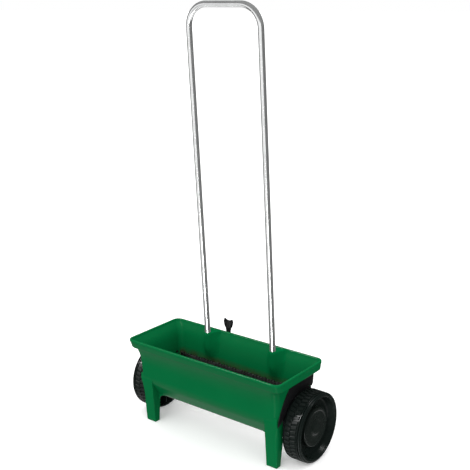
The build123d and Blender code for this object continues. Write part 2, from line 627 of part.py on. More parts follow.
# agitator: a sleeve on the axle with paddles set round it in steps
PADDLE_COUNT = 24
PADDLE_STEP = 35.0
PADDLE_LENGTH = 13.0
with BuildPart() as agitator_rotor:
    with BuildSketch(at_x(-ROTOR_HALF_LENGTH)):
        Circle(AXLE_RADIUS + 4.0)
        Circle(AXLE_RADIUS + TIGHT_GAP, mode=Mode.SUBTRACT)
    extrude(amount=2 * ROTOR_HALF_LENGTH)
    for count in range(PADDLE_COUNT):
        along = (count + 0.5 - PADDLE_COUNT / 2) * 2 * (ROTOR_HALF_LENGTH - 14.0) / PADDLE_COUNT
        with BuildSketch(at_x(along - PADDLE_LENGTH / 2)):
            with PolarLocations(AXLE_RADIUS + 3.0 + 6.6, 2, start_angle=count * PADDLE_STEP):
                Rectangle(13.2, 3.0)
        extrude(amount=PADDLE_LENGTH)
    with BuildSketch(Plane.XY.offset(AXLE_Z)):
        with Locations((-ROTOR_PIN_X, AXLE_Y), (ROTOR_PIN_X, AXLE_Y)):
            Circle(PIN_RADIUS + PRESSED_GAP)
    extrude(amount=THROUGH, both=True, mode=Mode.SUBTRACT)

with BuildPart() as rotor_pins:
    with BuildSketch(Plane.XY.offset(AXLE_Z - AXLE_RADIUS - 4.5)):
        with Locations((-ROTOR_PIN_X, AXLE_Y), (ROTOR_PIN_X, AXLE_Y)):
            Circle(PIN_RADIUS)
    extrude(amount=2 * AXLE_RADIUS + 9.0)

# ---------------------------------------------------------------- shutter and its rails
RAIL_GAP = 0.5
RAIL_LIP_TOP_Z = SHUTTER_TOP_Z - SHUTTER_THICKNESS - RAIL_GAP
RAIL_FOOT_Z = RAIL_LIP_TOP_Z - 2.6
RAIL_HALF_LENGTH = 222.0
RAIL_THICKNESS = 4.0
RAIL_SCREW_SHANK = 1.2
SLOT_GAP = 0.35
SLOT_WIDTH = 2 * (LEVER_PEG_RADIUS + SLOT_GAP)
TAB_WIDTH = 26.0
TAB_EDGE_WIDTH = 2.0
TAB_EDGE_DROP = 2.5
TAB_REAR_Y = LEVER_FRONT_Y + LEVER_THICKNESS + 7.0
RAIL_SCREW_XS = (-205.0, -120.0, 0.0, 120.0, 205.0)

with BuildPart() as shutter_plate:
    with BuildSketch(Plane.XY.offset(SHUTTER_TOP_Z - SHUTTER_THICKNESS)):
        with Locations((0, AXLE_Y)):
            RectangleRounded(2 * SHUTTER_HALF_LENGTH, 2 * SHUTTER_HALF_WIDTH, 3.0)
        # tab that runs back to the lever
        with Locations((LEVER_X, (AXLE_Y + TAB_REAR_Y) / 2)):
            Rectangle(TAB_WIDTH, TAB_REAR_Y - AXLE_Y)
        with Locations((LEVER_X, LEVER_FRONT_Y + LEVER_THICKNESS / 2)):
            Rectangle(SLOT_WIDTH, LEVER_THICKNESS + 4 * CLEARANCE, mode=Mode.SUBTRACT)
        with Locations((SHUTTER_TRAVEL, AXLE_Y)):
            with GridLocations(OUTLET_PITCH, 1, OUTLET_COUNT, 1):
                RectangleRounded(OUTLET_LENGTH, OUTLET_WIDTH, OUTLET_CORNER, mode=Mode.SUBTRACT)
    extrude(amount=SHUTTER_THICKNESS)
    # turned-down stiffening edges along the tab
    edge_front_y = AXLE_Y + SHUTTER_HALF_WIDTH + 12.0
    with BuildSketch(Plane.XY.offset(SHUTTER_TOP_Z - SHUTTER_THICKNESS - TAB_EDGE_DROP)):
        with Locations((LEVER_X, (edge_front_y + TAB_REAR_Y) / 2)):
            with GridLocations(TAB_WIDTH - TAB_EDGE_WIDTH, 1, 2, 1):
                Rectangle(TAB_EDGE_WIDTH, TAB_REAR_Y - edge_front_y)
    extrude(amount=TAB_EDGE_DROP + 0.1)

rails = {}
for name, outward in (("front", -1), ("rear", 1)):
    lip_y = AXLE_Y + outward * (SHUTTER_HALF_WIDTH + RAIL_GAP)
    web_y = lip_y + outward * RAIL_THICKNESS / 2
    with BuildPart() as rail:
        with BuildSketch(Plane.XY.offset(RAIL_FOOT_Z)):
            with Locations((0, lip_y)):
                Rectangle(2 * RAIL_HALF_LENGTH, 2 * RAIL_THICKNESS)
        extrude(amount=RAIL_LIP_TOP_Z - RAIL_FOOT_Z)
        with BuildSketch(Plane.XY.offset(RAIL_LIP_TOP_Z)):
            with Locations((0, web_y)):
                Rectangle(2 * RAIL_HALF_LENGTH, RAIL_THICKNESS)
            if name == "rear":
                # gap that the shutter's tab moves in
                with Locations((LEVER_X, web_y)):
                    Rectangle(TAB_WIDTH + 2 * SHUTTER_TRAVEL + 6.0, 2 * RAIL_THICKNESS, mode=Mode.SUBTRACT)
        extrude(amount=FLOOR_Z - RAIL_LIP_TOP_Z)
        with BuildSketch(Plane.XY.offset(RAIL_FOOT_Z - 1)):
            with Locations(*[(screw_x, web_y) for screw_x in RAIL_SCREW_XS]):
                Circle(RAIL_SCREW_SHANK + RUNNING_GAP)
        extrude(amount=THROUGH, mode=Mode.SUBTRACT)
    rail.part.label = "shutter_rail_" + name
    rails[name] = rail.part

rail_screws = placed(
    screw(2.6, 1.6, RAIL_SCREW_SHANK, FLOOR_Z - RAIL_FOOT_Z),
    *[
        Plane(
            origin=(
                screw_x,
                AXLE_Y + outward * (SHUTTER_HALF_WIDTH + RAIL_GAP + RAIL_THICKNESS / 2),
                RAIL_FOOT_Z,
            ),
            z_dir=(0, 0, -1),
        )
        for outward in (-1, 1)
        for screw_x in RAIL_SCREW_XS
    ],
)

# ---------------------------------------------------------------- lever and its bracket
LEVER_PLANE = Plane(origin=(LEVER_X, LEVER_FRONT_Y, 0), x_dir=(-1, 0, 0), z_dir=(0, 1, 0))
PIVOT_RADIUS = 4.0
EYE_RADIUS = 11.0
LOWER_ARM_WIDTH = 7.0
BRACKET_FACE_Y = LEVER_FRONT_Y - CLEARANCE
BRACKET_FRONT_THICKNESS = 4.0
BRACKET_CHEEK = 3.0
BRACKET_HALF_WIDTH = 16.0
BRACKET_TOP_Z = 152.0
BRACKET_FOOT_Z = 86.0
FLANGE_FOOT_Z = BODY_SECTIONS[1][0]
FLANGE_THICKNESS = 3.0
FLANGE_WING = 11.5
BRACKET_SCREW_X = BRACKET_HALF_WIDTH + 6.0
BRACKET_SCREW_Z = 139.0
BRACKET_SCREW_SHANK = 2.0
HEAD_FOOT_Z = LEVER_TOP_Z - 26.0

with BuildPart() as control_lever:
    with BuildSketch(LEVER_PLANE):
        half_head = LEVER_HEAD_WIDTH / 2
        half_stem = LEVER_STEM_WIDTH / 2
        with BuildLine():
            # fan-shaped head with a hollow top, on a straight stem
            Line((half_stem, LEVER_PIVOT_Z), (half_stem, HEAD_FOOT_Z))
            Spline(
                (half_stem, HEAD_FOOT_Z),
                (half_stem + 3.5, HEAD_FOOT_Z + 12.0),
                (half_head, LEVER_TOP_Z - 2.0),
                tangents=((0, 1), (0.6, 1)),
            )
            Line((half_head, LEVER_TOP_Z - 2.0), (half_head - 2.0, LEVER_TOP_Z))
            ThreePointArc(
                (half_head - 2.0, LEVER_TOP_Z), (0, LEVER_TOP_Z - 5.0), (-half_head + 2.0, LEVER_TOP_Z)
            )
            Line((-half_head + 2.0, LEVER_TOP_Z), (-half_head, LEVER_TOP_Z - 2.0))
            Spline(
                (-half_head, LEVER_TOP_Z - 2.0),
                (-half_stem - 3.5, HEAD_FOOT_Z + 12.0),
                (-half_stem, HEAD_FOOT_Z),
                tangents=((0.6, -1), (0, -1)),
            )
            Line((-half_stem, HEAD_FOOT_Z), (-half_stem, LEVER_PIVOT_Z))
            Line((-half_stem, LEVER_PIVOT_Z), (half_stem, LEVER_PIVOT_Z))
        make_face()
        # pivot eye, lower arm and round peg
        with Locations((0, LEVER_PIVOT_Z)):
            Circle(EYE_RADIUS)
        with Locations((0, (LEVER_PIVOT_Z + LEVER_PEG_Z) / 2)):
            Rectangle(LOWER_ARM_WIDTH, LEVER_PIVOT_Z - LEVER_PEG_Z)
        with Locations((0, LEVER_PEG_Z)):
            Circle(LEVER_PEG_RADIUS)
        with Locations((0, LEVER_PIVOT_Z)):
            Circle(PIVOT_RADIUS + RUNNING_GAP, mode=Mode.SUBTRACT)
    extrude(amount=LEVER_THICKNESS)

with BuildPart() as lever_bracket:
    # two cheeks and a front wall that carries the pivot, cut to the slope of the rear wall
    for side in SIDES:
        with BuildSketch(Plane.YZ.offset(LEVER_X + side * (BRACKET_HALF_WIDTH - BRACKET_CHEEK / 2))):
            with BuildLine():
                Polyline(
                    (50.0, BRACKET_TOP_Z), (84.0, BRACKET_TOP_Z), (BRACKET_FACE_Y, LEVER_PIVOT_Z + 16.0),
                    (BRACKET_FACE_Y, BRACKET_FOOT_Z), (50.0, BRACKET_FOOT_Z), close=True,
                )
            make_face()
        extrude(amount=BRACKET_CHEEK / 2, both=True)
    with BuildSketch(Plane.XZ.offset(-BRACKET_FACE_Y)):
        with Locations((LEVER_X, LEVER_PIVOT_Z + 1.0)):
            Rectangle(2 * BRACKET_HALF_WIDTH, 30.0)
    extrude(amount=BRACKET_FRONT_THICKNESS)
    # flange against the hopper
    with BuildSketch(Plane.XZ.offset(-(REAR_OUTER_Y + FLANGE_THICKNESS))):
        with Locations((LEVER_X, (BRACKET_TOP_Z + FLANGE_FOOT_Z) / 2)):
            RectangleRounded(2 * (BRACKET_HALF_WIDTH + FLANGE_WING), BRACKET_TOP_Z - FLANGE_FOOT_Z, 4.0)
    extrude(amount=1.5 * THROUGH)
    add(body_outside.part, mode=Mode.SUBTRACT)
    with BuildSketch(Plane.XZ.offset(-60.0)):
        with Locations((LEVER_X, LEVER_PIVOT_Z)):
            Circle(PIVOT_RADIUS + PRESSED_GAP)
        with Locations((LEVER_X, BRACKET_SCREW_Z)):
            with GridLocations(2 * BRACKET_SCREW_X, 1, 2, 1):
                Circle(BRACKET_SCREW_SHANK + RUNNING_GAP)
    extrude(amount=-3 * THROUGH, mode=Mode.SUBTRACT)

bracket_screw_face = REAR_OUTER_Y + FLANGE_THICKNESS
lever_bracket_screws = placed(
    screw(4.0, 2.4, BRACKET_SCREW_SHANK, 2 * FLANGE_THICKNESS),
    *[
        Plane(
            origin=(LEVER_X + side * BRACKET_SCREW_X, bracket_screw_face, BRACKET_SCREW_Z),
            z_dir=(0, 1, 0),
        )
        for side in SIDES
    ],
)

# shoulder bolt that the lever turns on, held by a nut behind the bracket's front wall
BOLT_HEX_RADIUS = 7.5
BOLT_HEX_HEIGHT = 4.0
BOLT_RUN = BRACKET_FRONT_THICKNESS + BOLT_HEX_HEIGHT + 1.0
with BuildPart() as lever_pivot_bolt:
    with BuildSketch(Plane.XZ.offset(-(BRACKET_FACE_Y - BOLT_RUN))):
        with Locations((LEVER_X, LEVER_PIVOT_Z)):
            Circle(PIVOT_RADIUS)
    extrude(amount=-(BOLT_RUN + LEVER_THICKNESS + 2 * CLEARANCE))
    with BuildSketch(Plane.XZ.offset(-(LEVER_FRONT_Y + LEVER_THICKNESS + CLEARANCE))):
        with Locations((LEVER_X, LEVER_PIVOT_Z)):
            RegularPolygon(BOLT_HEX_RADIUS, 6)
    extrude(amount=-BOLT_HEX_HEIGHT)

with BuildPart() as lever_pivot_nut:
    with BuildSketch(Plane.XZ.offset(-(BRACKET_FACE_Y - BRACKET_FRONT_THICKNESS))):
        with Locations((LEVER_X, LEVER_PIVOT_Z)):
            RegularPolygon(BOLT_HEX_RADIUS, 6)
            Circle(PIVOT_RADIUS + PRESSED_GAP, mode=Mode.SUBTRACT)
    extrude(amount=BOLT_HEX_HEIGHT)

# ---------------------------------------------------------------- write every piece
PIECES = {
    "hopper": hopper.part,
    "metering_trough": metering_trough.part,
    "trough_apron": trough_apron.part,
    "trough_rear_sheet": trough_rear_sheet.part,
    "trough_cheeks": trough_cheeks.part,
    "handle_tube": handle_tube.part,
    "handle_screws": handle_screws,
    "bearing_plate_left": bearing_plates[-1],
    "bearing_plate_right": bearing_plates[1],
    "bearing_plate_rivets": bearing_plate_rivets,
    "axle_bush_left": axle_bushes[-1],
    "axle_bush_right": axle_bushes[1],
    "shutter_rail_front": rails["front"],
    "shutter_rail_rear": rails["rear"],
    "rail_screws": rail_screws,
    "lever_bracket": lever_bracket.part,
    "lever_bracket_screws": lever_bracket_screws,
    "lever_pivot_bolt": lever_pivot_bolt.part,
    "lever_pivot_nut": lever_pivot_nut.part,
    "drive_axle": drive_axle.part,
    "agitator_rotor": agitator_rotor.part,
    "rotor_pins": rotor_pins.part,
    "wheel_right": wheel_right.part,
    "hub_cap_right": hub_caps[1],
    "wheel_drive_pin": wheel_drive_pin.part,
    "thrust_washers": thrust_washers.part,
    "retaining_clips": retaining_clips.part,
    "wheel_left": wheel_left,
    "hub_cap_left": hub_caps[-1],
    "idle_wheel_bush": idle_wheel_bush.part,
    "control_lever": control_lever.part,
    "shutter_plate": shutter_plate.part,
}
for name, piece in PIECES.items():
    piece.label = name
    export_step(piece, f"parts/{name}.step")
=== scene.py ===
import json
import math

import bmesh
import bpy
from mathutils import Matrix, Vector

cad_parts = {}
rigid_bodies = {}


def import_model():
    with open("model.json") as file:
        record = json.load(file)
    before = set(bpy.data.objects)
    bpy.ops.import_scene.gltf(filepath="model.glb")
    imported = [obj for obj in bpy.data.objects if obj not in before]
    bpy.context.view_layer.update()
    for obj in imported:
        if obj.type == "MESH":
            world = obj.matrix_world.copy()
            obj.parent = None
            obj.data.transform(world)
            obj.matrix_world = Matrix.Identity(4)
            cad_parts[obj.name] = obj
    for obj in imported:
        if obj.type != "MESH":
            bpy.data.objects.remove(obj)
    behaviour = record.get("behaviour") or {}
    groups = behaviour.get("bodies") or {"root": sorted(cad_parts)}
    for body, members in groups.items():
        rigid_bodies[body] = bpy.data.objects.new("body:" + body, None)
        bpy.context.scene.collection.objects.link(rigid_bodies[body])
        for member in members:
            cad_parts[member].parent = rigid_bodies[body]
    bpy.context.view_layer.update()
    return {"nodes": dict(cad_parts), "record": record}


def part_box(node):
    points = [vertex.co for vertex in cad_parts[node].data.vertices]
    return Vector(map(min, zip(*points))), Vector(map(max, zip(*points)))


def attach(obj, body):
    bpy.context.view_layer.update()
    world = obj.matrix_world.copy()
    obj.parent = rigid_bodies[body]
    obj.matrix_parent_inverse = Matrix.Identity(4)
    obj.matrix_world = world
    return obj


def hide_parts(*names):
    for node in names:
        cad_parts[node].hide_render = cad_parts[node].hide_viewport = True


# Garden drop spreader. The pieces' lengths are in millimetres and are turned into metres where a mesh is
# made. The materials, the lights and the camera are in metres.
MM = 0.001
SIDE_NAMES = {-1: "left", 1: "right"}

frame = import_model()
NODES = frame["nodes"]


def cad_box(node):
    """Lowest and highest corner of a CAD node, in millimetres."""
    low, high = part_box(node)
    return low / MM, high / MM


# ---------------------------------------------------------------- sizes read from the frame
HOPPER_LOW, HOPPER_HIGH = cad_box("hopper")
WHEEL_LOW, WHEEL_HIGH = cad_box("wheel_right")
HANDLE_HIGH = cad_box("handle_tube")[1]
LEVER_LOW, LEVER_HIGH = cad_box("control_lever")

AXLE_Y = (WHEEL_LOW.y + WHEEL_HIGH.y) / 2
WHEEL_RADIUS = (WHEEL_HIGH.z - WHEEL_LOW.z) / 2
AXLE_Z = WHEEL_LOW.z + WHEEL_RADIUS
WHEEL_INNER_X = WHEEL_LOW.x
WHEEL_WIDTH = WHEEL_HIGH.x - WHEEL_LOW.x
TUBE_RADIUS = 8.0
HANDLE_HALF_SPREAD = HANDLE_HIGH.x - TUBE_RADIUS
RIM_TOP_Z = HOPPER_HIGH.z
RIM_HALF_X = HOPPER_HIGH.x
RIM_FRONT_Y = HOPPER_LOW.y
RIM_REAR_Y = HOPPER_HIGH.y

# ---------------------------------------------------------------- sizes of the hopper
WALL = 3.0
RIM_BAND_HEIGHT = 26.0
RIM_RADIUS = 20.0
LIP_HEIGHT = 6.5
LIP_WIDTH = 6.5
BAND_FOOT_Z = RIM_TOP_Z - RIM_BAND_HEIGHT
# levels of the body: height, then half length, front, rear and corner radius in plan
BODY_TOP = (BAND_FOOT_Z, 238.0, -97.5, 81.0, 18.0)
BODY_BEND = (127.0, 232.4, -87.9, 77.0, 16.0)
BODY_TOE = (82.0, 229.9, -58.6, 60.0, 12.0)
BODY_FLOOR = (58.0, 228.5, -6.0, 48.0, 5.0)
# sections near the rim, outside and then inside: half length, front, rear and corner radius in plan
UNDER_LIP = (RIM_HALF_X - 0.6, -116.4, 96.0, RIM_RADIUS)
BAND_FOOT = (RIM_HALF_X - 1.2, -111.0, 93.5, RIM_RADIUS)
FLARE_TOP = (238.0, -107.0, 84.0, 18.0)
FLARE_FOOT = (236.3, -93.6, 80.0, 18.0)
FLARE_HEIGHT = 30.0
INNER_FLARE = (234.6, -100.0, 84.0, 19.0)
INNER_WALL = (229.4, -94.6, 80.0, 18.0)
INNER_WALL_Z = BODY_BEND[0] + 56.0
OUTLET = (201.0, AXLE_Y - 12.0, AXLE_Y + 12.0, 3.0)
# round pockets in the end walls, which the wheels turn in
POCKET_FLOOR_X = 229.0
POCKET_DEPTH = 20.0
POCKET_RADIUS = 98.0
POCKET_EDGE = 5.0
SHELL_PARTS_ALONG = 40
SHELL_PARTS_ACROSS = 64
SHELL_LONGEST_STEP = 3.2

FOOT_OUTER_X = 225.5
FOOT_INNER_X = 192.5
FOOT_FRONT_Y = -75.7
FOOT_DEPTH = 17.1
FOOT_EDGE = 1.2
SOLE_HEIGHT = 6.0
LEG_LEAN = (BODY_TOP[2] - FOOT_FRONT_Y) / BODY_TOP[0]
LEG_SPREAD = (BODY_TOP[1] - FOOT_OUTER_X) / BODY_TOP[0]
LEG_TOP_Z = BODY_BEND[0] + 22.0
LEG_ROWS = 24
# a leg grows this much deeper over this height
LEG_DEPTH_GAIN = 22.0
LEG_GAIN_HEIGHT = 135.0
GUSSET_SIZE = 22.0

# ---------------------------------------------------------------- sizes of the handle and its sockets
HANDLE_BASE_Y = 63.5
HANDLE_TOP_Y = -9.3
HANDLE_TOP_Z = HANDLE_HIGH.z - TUBE_RADIUS
HANDLE_BEND = 58.0
HANDLE_LEAN = math.atan2(HANDLE_BASE_Y - HANDLE_TOP_Y, HANDLE_TOP_Z - RIM_TOP_Z)
# the tube that is seen ends here, hidden inside its socket
TUBE_END_Z = 222.0
SOCKET_RADIUS = 12.5
SOCKET_TOP_Z = 251.5
SOCKET_FOOT_Z = 154.0
SOCKET_HALF_WIDTH = 30.0
SOCKET_TOP_ROUND = 9.0
SOCKET_WALL_Y = 76.5
SOCKET_WALL_LEAN = 0.05
SOCKET_WALL_FLARE = 11.0


def front_face_y(z):
    """Front of the legs and of the upper front wall at a height."""
    return FOOT_FRONT_Y + LEG_LEAN * z


def leg_outer_x(z):
    """Outer side of a leg at a height."""
    return FOOT_OUTER_X + LEG_SPREAD * z


def handle_y(z):
    """Centreline of the straight handle tubes at a height."""
    return HANDLE_BASE_Y + math.tan(HANDLE_LEAN) * (RIM_TOP_Z - z)


# ---------------------------------------------------------------- mesh helpers
# edges that turn by more than this many degrees stay sharp on most pieces
SHARP = 35.0


def smoothstep(low, high, value):
    """0 up to low, 1 from high on, and a soft rise in between."""
    t = min(1.0, max(0.0, (value - low) / (high - low)))
    return t * t * (3 - 2 * t)


def put_in_scene(name, mesh, sharp_angle):
    """An object for a mesh, shaded smooth except across sharp edges."""
    mesh.shade_smooth()
    mesh.set_sharp_from_angle(angle=math.radians(sharp_angle))
    piece = bpy.data.objects.new(name, mesh)
    bpy.context.scene.collection.objects.link(piece)
    return piece


def make_piece(name, points, faces, sharp_angle):
    """A mesh object from points in millimetres."""
    mesh = bpy.data.meshes.new(name)
    mesh.from_pydata([(x * MM, y * MM, z * MM) for x, y, z in points], [], faces)
    bm = bmesh.new()
    bm.from_mesh(mesh)
    bmesh.ops.remove_doubles(bm, verts=bm.verts, dist=1e-6)
    bmesh.ops.recalc_face_normals(bm, faces=bm.faces)
    bm.to_mesh(mesh)
    bm.free()
    return put_in_scene(name, mesh, sharp_angle)


def loft(rings, joined=False):
    """Points and faces of a skin over rings with equal numbers of points. Its last ring is joined to the
    first, or else both ends are capped."""
    count = len(rings[0])
    points = [point for ring in rings for point in ring]
    faces = []
    for row in range(len(rings) if joined else len(rings) - 1):
        below = row * count
        above = (row + 1) % len(rings) * count
        for column in range(count):
            after = (column + 1) % count
            faces.append((below + column, below + after, above + after, above + column))
    if not joined:
        faces.append(tuple(reversed(range(count))))
        faces.append(tuple(range(len(points) - count, len(points))))
    return points, faces


def eased(corners, steps=5):
    """Rounds the corners of a closed path. Each corner is (values..., easing), where easing is how far
    from the corner, measured over all its values, the path leaves the straight line."""
    path = []
    for index, corner in enumerate(corners):
        here = corner[:-1]
        easing = corner[-1]
        if easing <= 0:
            path.append(here)
            continue
        before = corners[index - 1][:-1]
        after = corners[(index + 1) % len(corners)][:-1]
        sides = []
        for other in (before, after):
            length = math.dist(here, other)
            share = min(0.49, easing / length)
            sides.append([h + (o - h) * share for h, o in zip(here, other)])
        for step in range(steps + 1):
            t = step / steps
            path.append(
                tuple(
                    (1 - t) ** 2 * a + 2 * t * (1 - t) * h + t * t * b
                    for a, h, b in zip(sides[0], here, sides[1])
                )
            )
    return path


def divided(path, longest):
    """Adds points so that no run of a closed path is longer than longest."""
    result = []
    for index, here in enumerate(path):
        result.append(here)
        after = path[(index + 1) % len(path)]
        parts = max(1, math.ceil(math.dist(here, after) / longest))
        for part in range(1, parts):
            result.append(tuple(h + (a - h) * part / parts for h, a in zip(here, after)))
    return result


def rounded_rectangle(half_x, front, rear, radius, x_parts, y_parts, corner_parts=8):
    """Outline in plan, anticlockwise from the front left, with equal point numbers for every size."""
    points = []
    middle_y = (front + rear) / 2
    half_y = (rear - front) / 2
    for quarter in range(4):
        turn = math.radians(90 * quarter - 90)
        sign_x = (1, 1, -1, -1)[quarter]
        sign_y = (-1, 1, 1, -1)[quarter]
        centre = (sign_x * (half_x - radius), middle_y + sign_y * (half_y - radius))
        parts = (x_parts, y_parts, x_parts, y_parts)[quarter]
        length = 2 * ((half_x if quarter in (0, 2) else half_y) - radius)
        heading = (math.cos(turn + math.pi / 2), math.sin(turn + math.pi / 2))
        start = (centre[0] + radius * math.cos(turn), centre[1] + radius * math.sin(turn))
        for part in range(parts):
            back = length * (1 - part / parts)
            points.append((start[0] - heading[0] * back, start[1] - heading[1] * back))
        for part in range(corner_parts):
            angle = turn + math.pi / 2 * part / corner_parts
            points.append((centre[0] + radius * math.cos(angle), centre[1] + radius * math.sin(angle)))
    return points


def on_wheel(side, along, radius, angle):
    """A point of a wheel, from its distance to the wheel's inner face, its radius and its angle."""
    return (
        side * (WHEEL_INNER_X + along),
        AXLE_Y + radius * math.cos(angle),
        AXLE_Z + radius * math.sin(angle),
    )


def turned(name, profile, side, segments):
    """A piece turned about the axle. The profile is (distance from the wheel's inner face, radius)."""
    rings = []
    for step in range(segments):
        angle = 2 * math.pi * step / segments
        rings.append([on_wheel(side, along, radius, angle) for along, radius in profile])
    points, faces = loft(rings, joined=True)
    return make_piece(name, points, faces, SHARP)


def stack_faces(base):
    """Faces of a block of three four-cornered layers whose points start at number base."""
    faces = []
    for layer in (0, 4):
        for corner in range(4):
            low = base + layer + corner
            low_after = base + layer + (corner + 1) % 4
            faces.append((low, low_after, low_after + 4, low + 4))
    faces.append((base + 8, base + 9, base + 10, base + 11))
    faces.append((base + 3, base + 2, base + 1, base + 0))
    return faces


# ---------------------------------------------------------------- hopper
def hopper_shell():
    """The moulded shell: outside, rim band, rounded lip and flared inside, as one closed skin."""
    rim = (RIM_HALF_X, RIM_FRONT_Y, RIM_REAR_Y, RIM_RADIUS)
    lip_foot_z = RIM_TOP_Z - LIP_HEIGHT

    def level(z, inset, section, easing):
        half_x, front, rear, radius = section
        return (z, half_x - inset, front + inset, rear - inset, radius - inset, easing)

    outside = [
        level(BODY_FLOOR[0], 0, OUTLET, 0),
        level(BODY_FLOOR[0], 0, BODY_FLOOR[1:], 3.0),
        level(BODY_TOE[0], 0, BODY_TOE[1:], 7.0),
        level(BODY_BEND[0], 0, BODY_BEND[1:], 16.0),
        level(BAND_FOOT_Z - FLARE_HEIGHT, 0, FLARE_FOOT, 24.0),
        level(BAND_FOOT_Z, 0, FLARE_TOP, 5.0),
        level(BAND_FOOT_Z + 1.0, 0, BAND_FOOT, 4.0),
        level(lip_foot_z - 3.0, 0, UNDER_LIP, 2.0),
    ]
    lip = [
        level(lip_foot_z - 0.6, 1.6, rim, 0.6),
        level(lip_foot_z, 0, rim, 0.7),
        level(RIM_TOP_Z, 0, rim, 3.2),
        level(RIM_TOP_Z, LIP_WIDTH, rim, 3.2),
    ]
    inside = [
        level(RIM_TOP_Z - 5.0, LIP_WIDTH + 0.6, rim, 2.0),
        level(BAND_FOOT_Z - 2.0, WALL, INNER_FLARE, 18.0),
        level(INNER_WALL_Z, WALL, INNER_WALL, 18.0),
        level(BODY_BEND[0], WALL, (POCKET_FLOOR_X, *BODY_BEND[2:]), 16.0),
        level(BODY_TOE[0] + 2.0, WALL, (POCKET_FLOOR_X, *BODY_TOE[2:]), 7.0),
        level(BODY_FLOOR[0] + WALL, WALL, (*BODY_FLOOR[1:4], 6.0), 3.0),
        level(BODY_FLOOR[0] + WALL, 0, OUTLET, 0),
    ]
    levels = divided(eased(outside + lip + inside, steps=6), SHELL_LONGEST_STEP)
    lip_row = max(range(len(levels)), key=lambda row: levels[row][0])
    rings = []
    for row, (z, half_x, front, rear, radius) in enumerate(levels):
        ring = []
        outer_skin = row <= lip_row
        for x, y in rounded_rectangle(
            half_x, front, rear, radius, SHELL_PARTS_ALONG, SHELL_PARTS_ACROSS
        ):
            reach = math.hypot(y - AXLE_Y, z - AXLE_Z)
            past_pocket = smoothstep(POCKET_RADIUS - 0.8, POCKET_RADIUS + POCKET_EDGE, reach)
            limit = POCKET_FLOOR_X + POCKET_DEPTH * past_pocket
            if outer_skin and z < BAND_FOOT_Z - 1 and abs(x) > limit:
                x = math.copysign(limit, x)
            ring.append((x, y, z))
        rings.append(ring)
    points, faces = loft(rings, joined=True)
    return make_piece("hopper_shell", points, faces, 50.0)


def wall_front_y(z):
    """Front face of the hopper's front wall at a height; far behind everything under the wall."""
    for upper, lower in ((BODY_TOP, BODY_BEND), (BODY_BEND, BODY_TOE)):
        if z > lower[0]:
            share = (z - lower[0]) / (upper[0] - lower[0])
            return lower[2] + (upper[2] - lower[2]) * share
    return RIM_REAR_Y


def leg(side):
    """One leg: a channel open to the rear over a closed sole, growing out of the front wall."""
    levels = [0.0, 0.35, FOOT_EDGE, SOLE_HEIGHT - 1.0, SOLE_HEIGHT]
    levels += [SOLE_HEIGHT + (LEG_TOP_Z - SOLE_HEIGHT) * step / LEG_ROWS for step in range(1, LEG_ROWS + 1)]
    rings = []
    for z in levels:
        sink = 2.0 * smoothstep(BODY_BEND[0] + 4.0, LEG_TOP_Z, z)
        inset = max(0.0, FOOT_EDGE - z)
        inset = inset * inset / FOOT_EDGE
        depth = FOOT_DEPTH + LEG_DEPTH_GAIN * z / LEG_GAIN_HEIGHT
        front = front_face_y(z) + sink + inset
        rear = front_face_y(z) + depth - inset
        outer = leg_outer_x(z) + 0.25 - sink - inset
        inner = FOOT_INNER_X + inset
        corner = 4.0 + 11.5 * smoothstep(0.0, BODY_BEND[0], z)
        hollow = z >= SOLE_HEIGHT
        # the channel's walls thin out, and its rear ends in the front wall, where the leg meets the body
        thinning = 1 - 0.7 * smoothstep(BODY_BEND[0] - 20.0, BODY_BEND[0], z)
        wall = WALL * thinning if hollow else 0.0
        side_wall = max(wall, 1.6)
        rear = max(min(rear, wall_front_y(z) + 1.5), front + wall + 0.3)
        back = front + wall if hollow else rear - 0.6
        outline = [
            (inner, rear, 0.6),
            (inner, front, 2.6),
            (outer, front, corner),
            (outer, rear, 0.6),
            (outer - side_wall, rear, 0.6),
            (outer - side_wall, back, max(0.5, corner - 3.0) if hollow else 0.5),
            (inner + side_wall, back, 1.5 if hollow else 0.5),
            (inner + side_wall, rear, 0.6),
        ]
        rings.append([(side * x, y, z) for x, y in eased(outline, steps=6)])
    points, faces = loft(rings)
    return make_piece("front_leg_" + SIDE_NAMES[side], points, faces, SHARP)


def gusset(side):
    """Quarter-round web between a leg and the lower edge of the front wall."""
    top = BODY_TOE[0] + 3.0
    start_x = FOOT_INNER_X + 1.5
    front = BODY_TOE[2] - 0.4
    centre_x = FOOT_INNER_X - GUSSET_SIZE
    centre_z = BODY_TOE[0] - GUSSET_SIZE
    outline = [(start_x, top), (start_x, centre_z)]
    for step in range(13):
        angle = math.pi / 2 * step / 12
        outline.append((centre_x + GUSSET_SIZE * math.cos(angle), centre_z + GUSSET_SIZE * math.sin(angle)))
    outline.append((centre_x - 1.0, top))
    rings = []
    for depth, inset in ((0.0, 0.9), (0.35, 0.3), (0.9, 0.0), (WALL - 0.9, 0.0), (WALL, 0.9)):
        ring = []
        for x, z in outline:
            toward = Vector((start_x + 10.0 - x, top + 10.0 - z)).normalized() * inset
            ring.append((side * (x + toward.x), front + depth, z + toward.y))
        rings.append(ring)
    points, faces = loft(rings)
    return make_piece("leg_gusset_" + SIDE_NAMES[side], points, faces, SHARP)


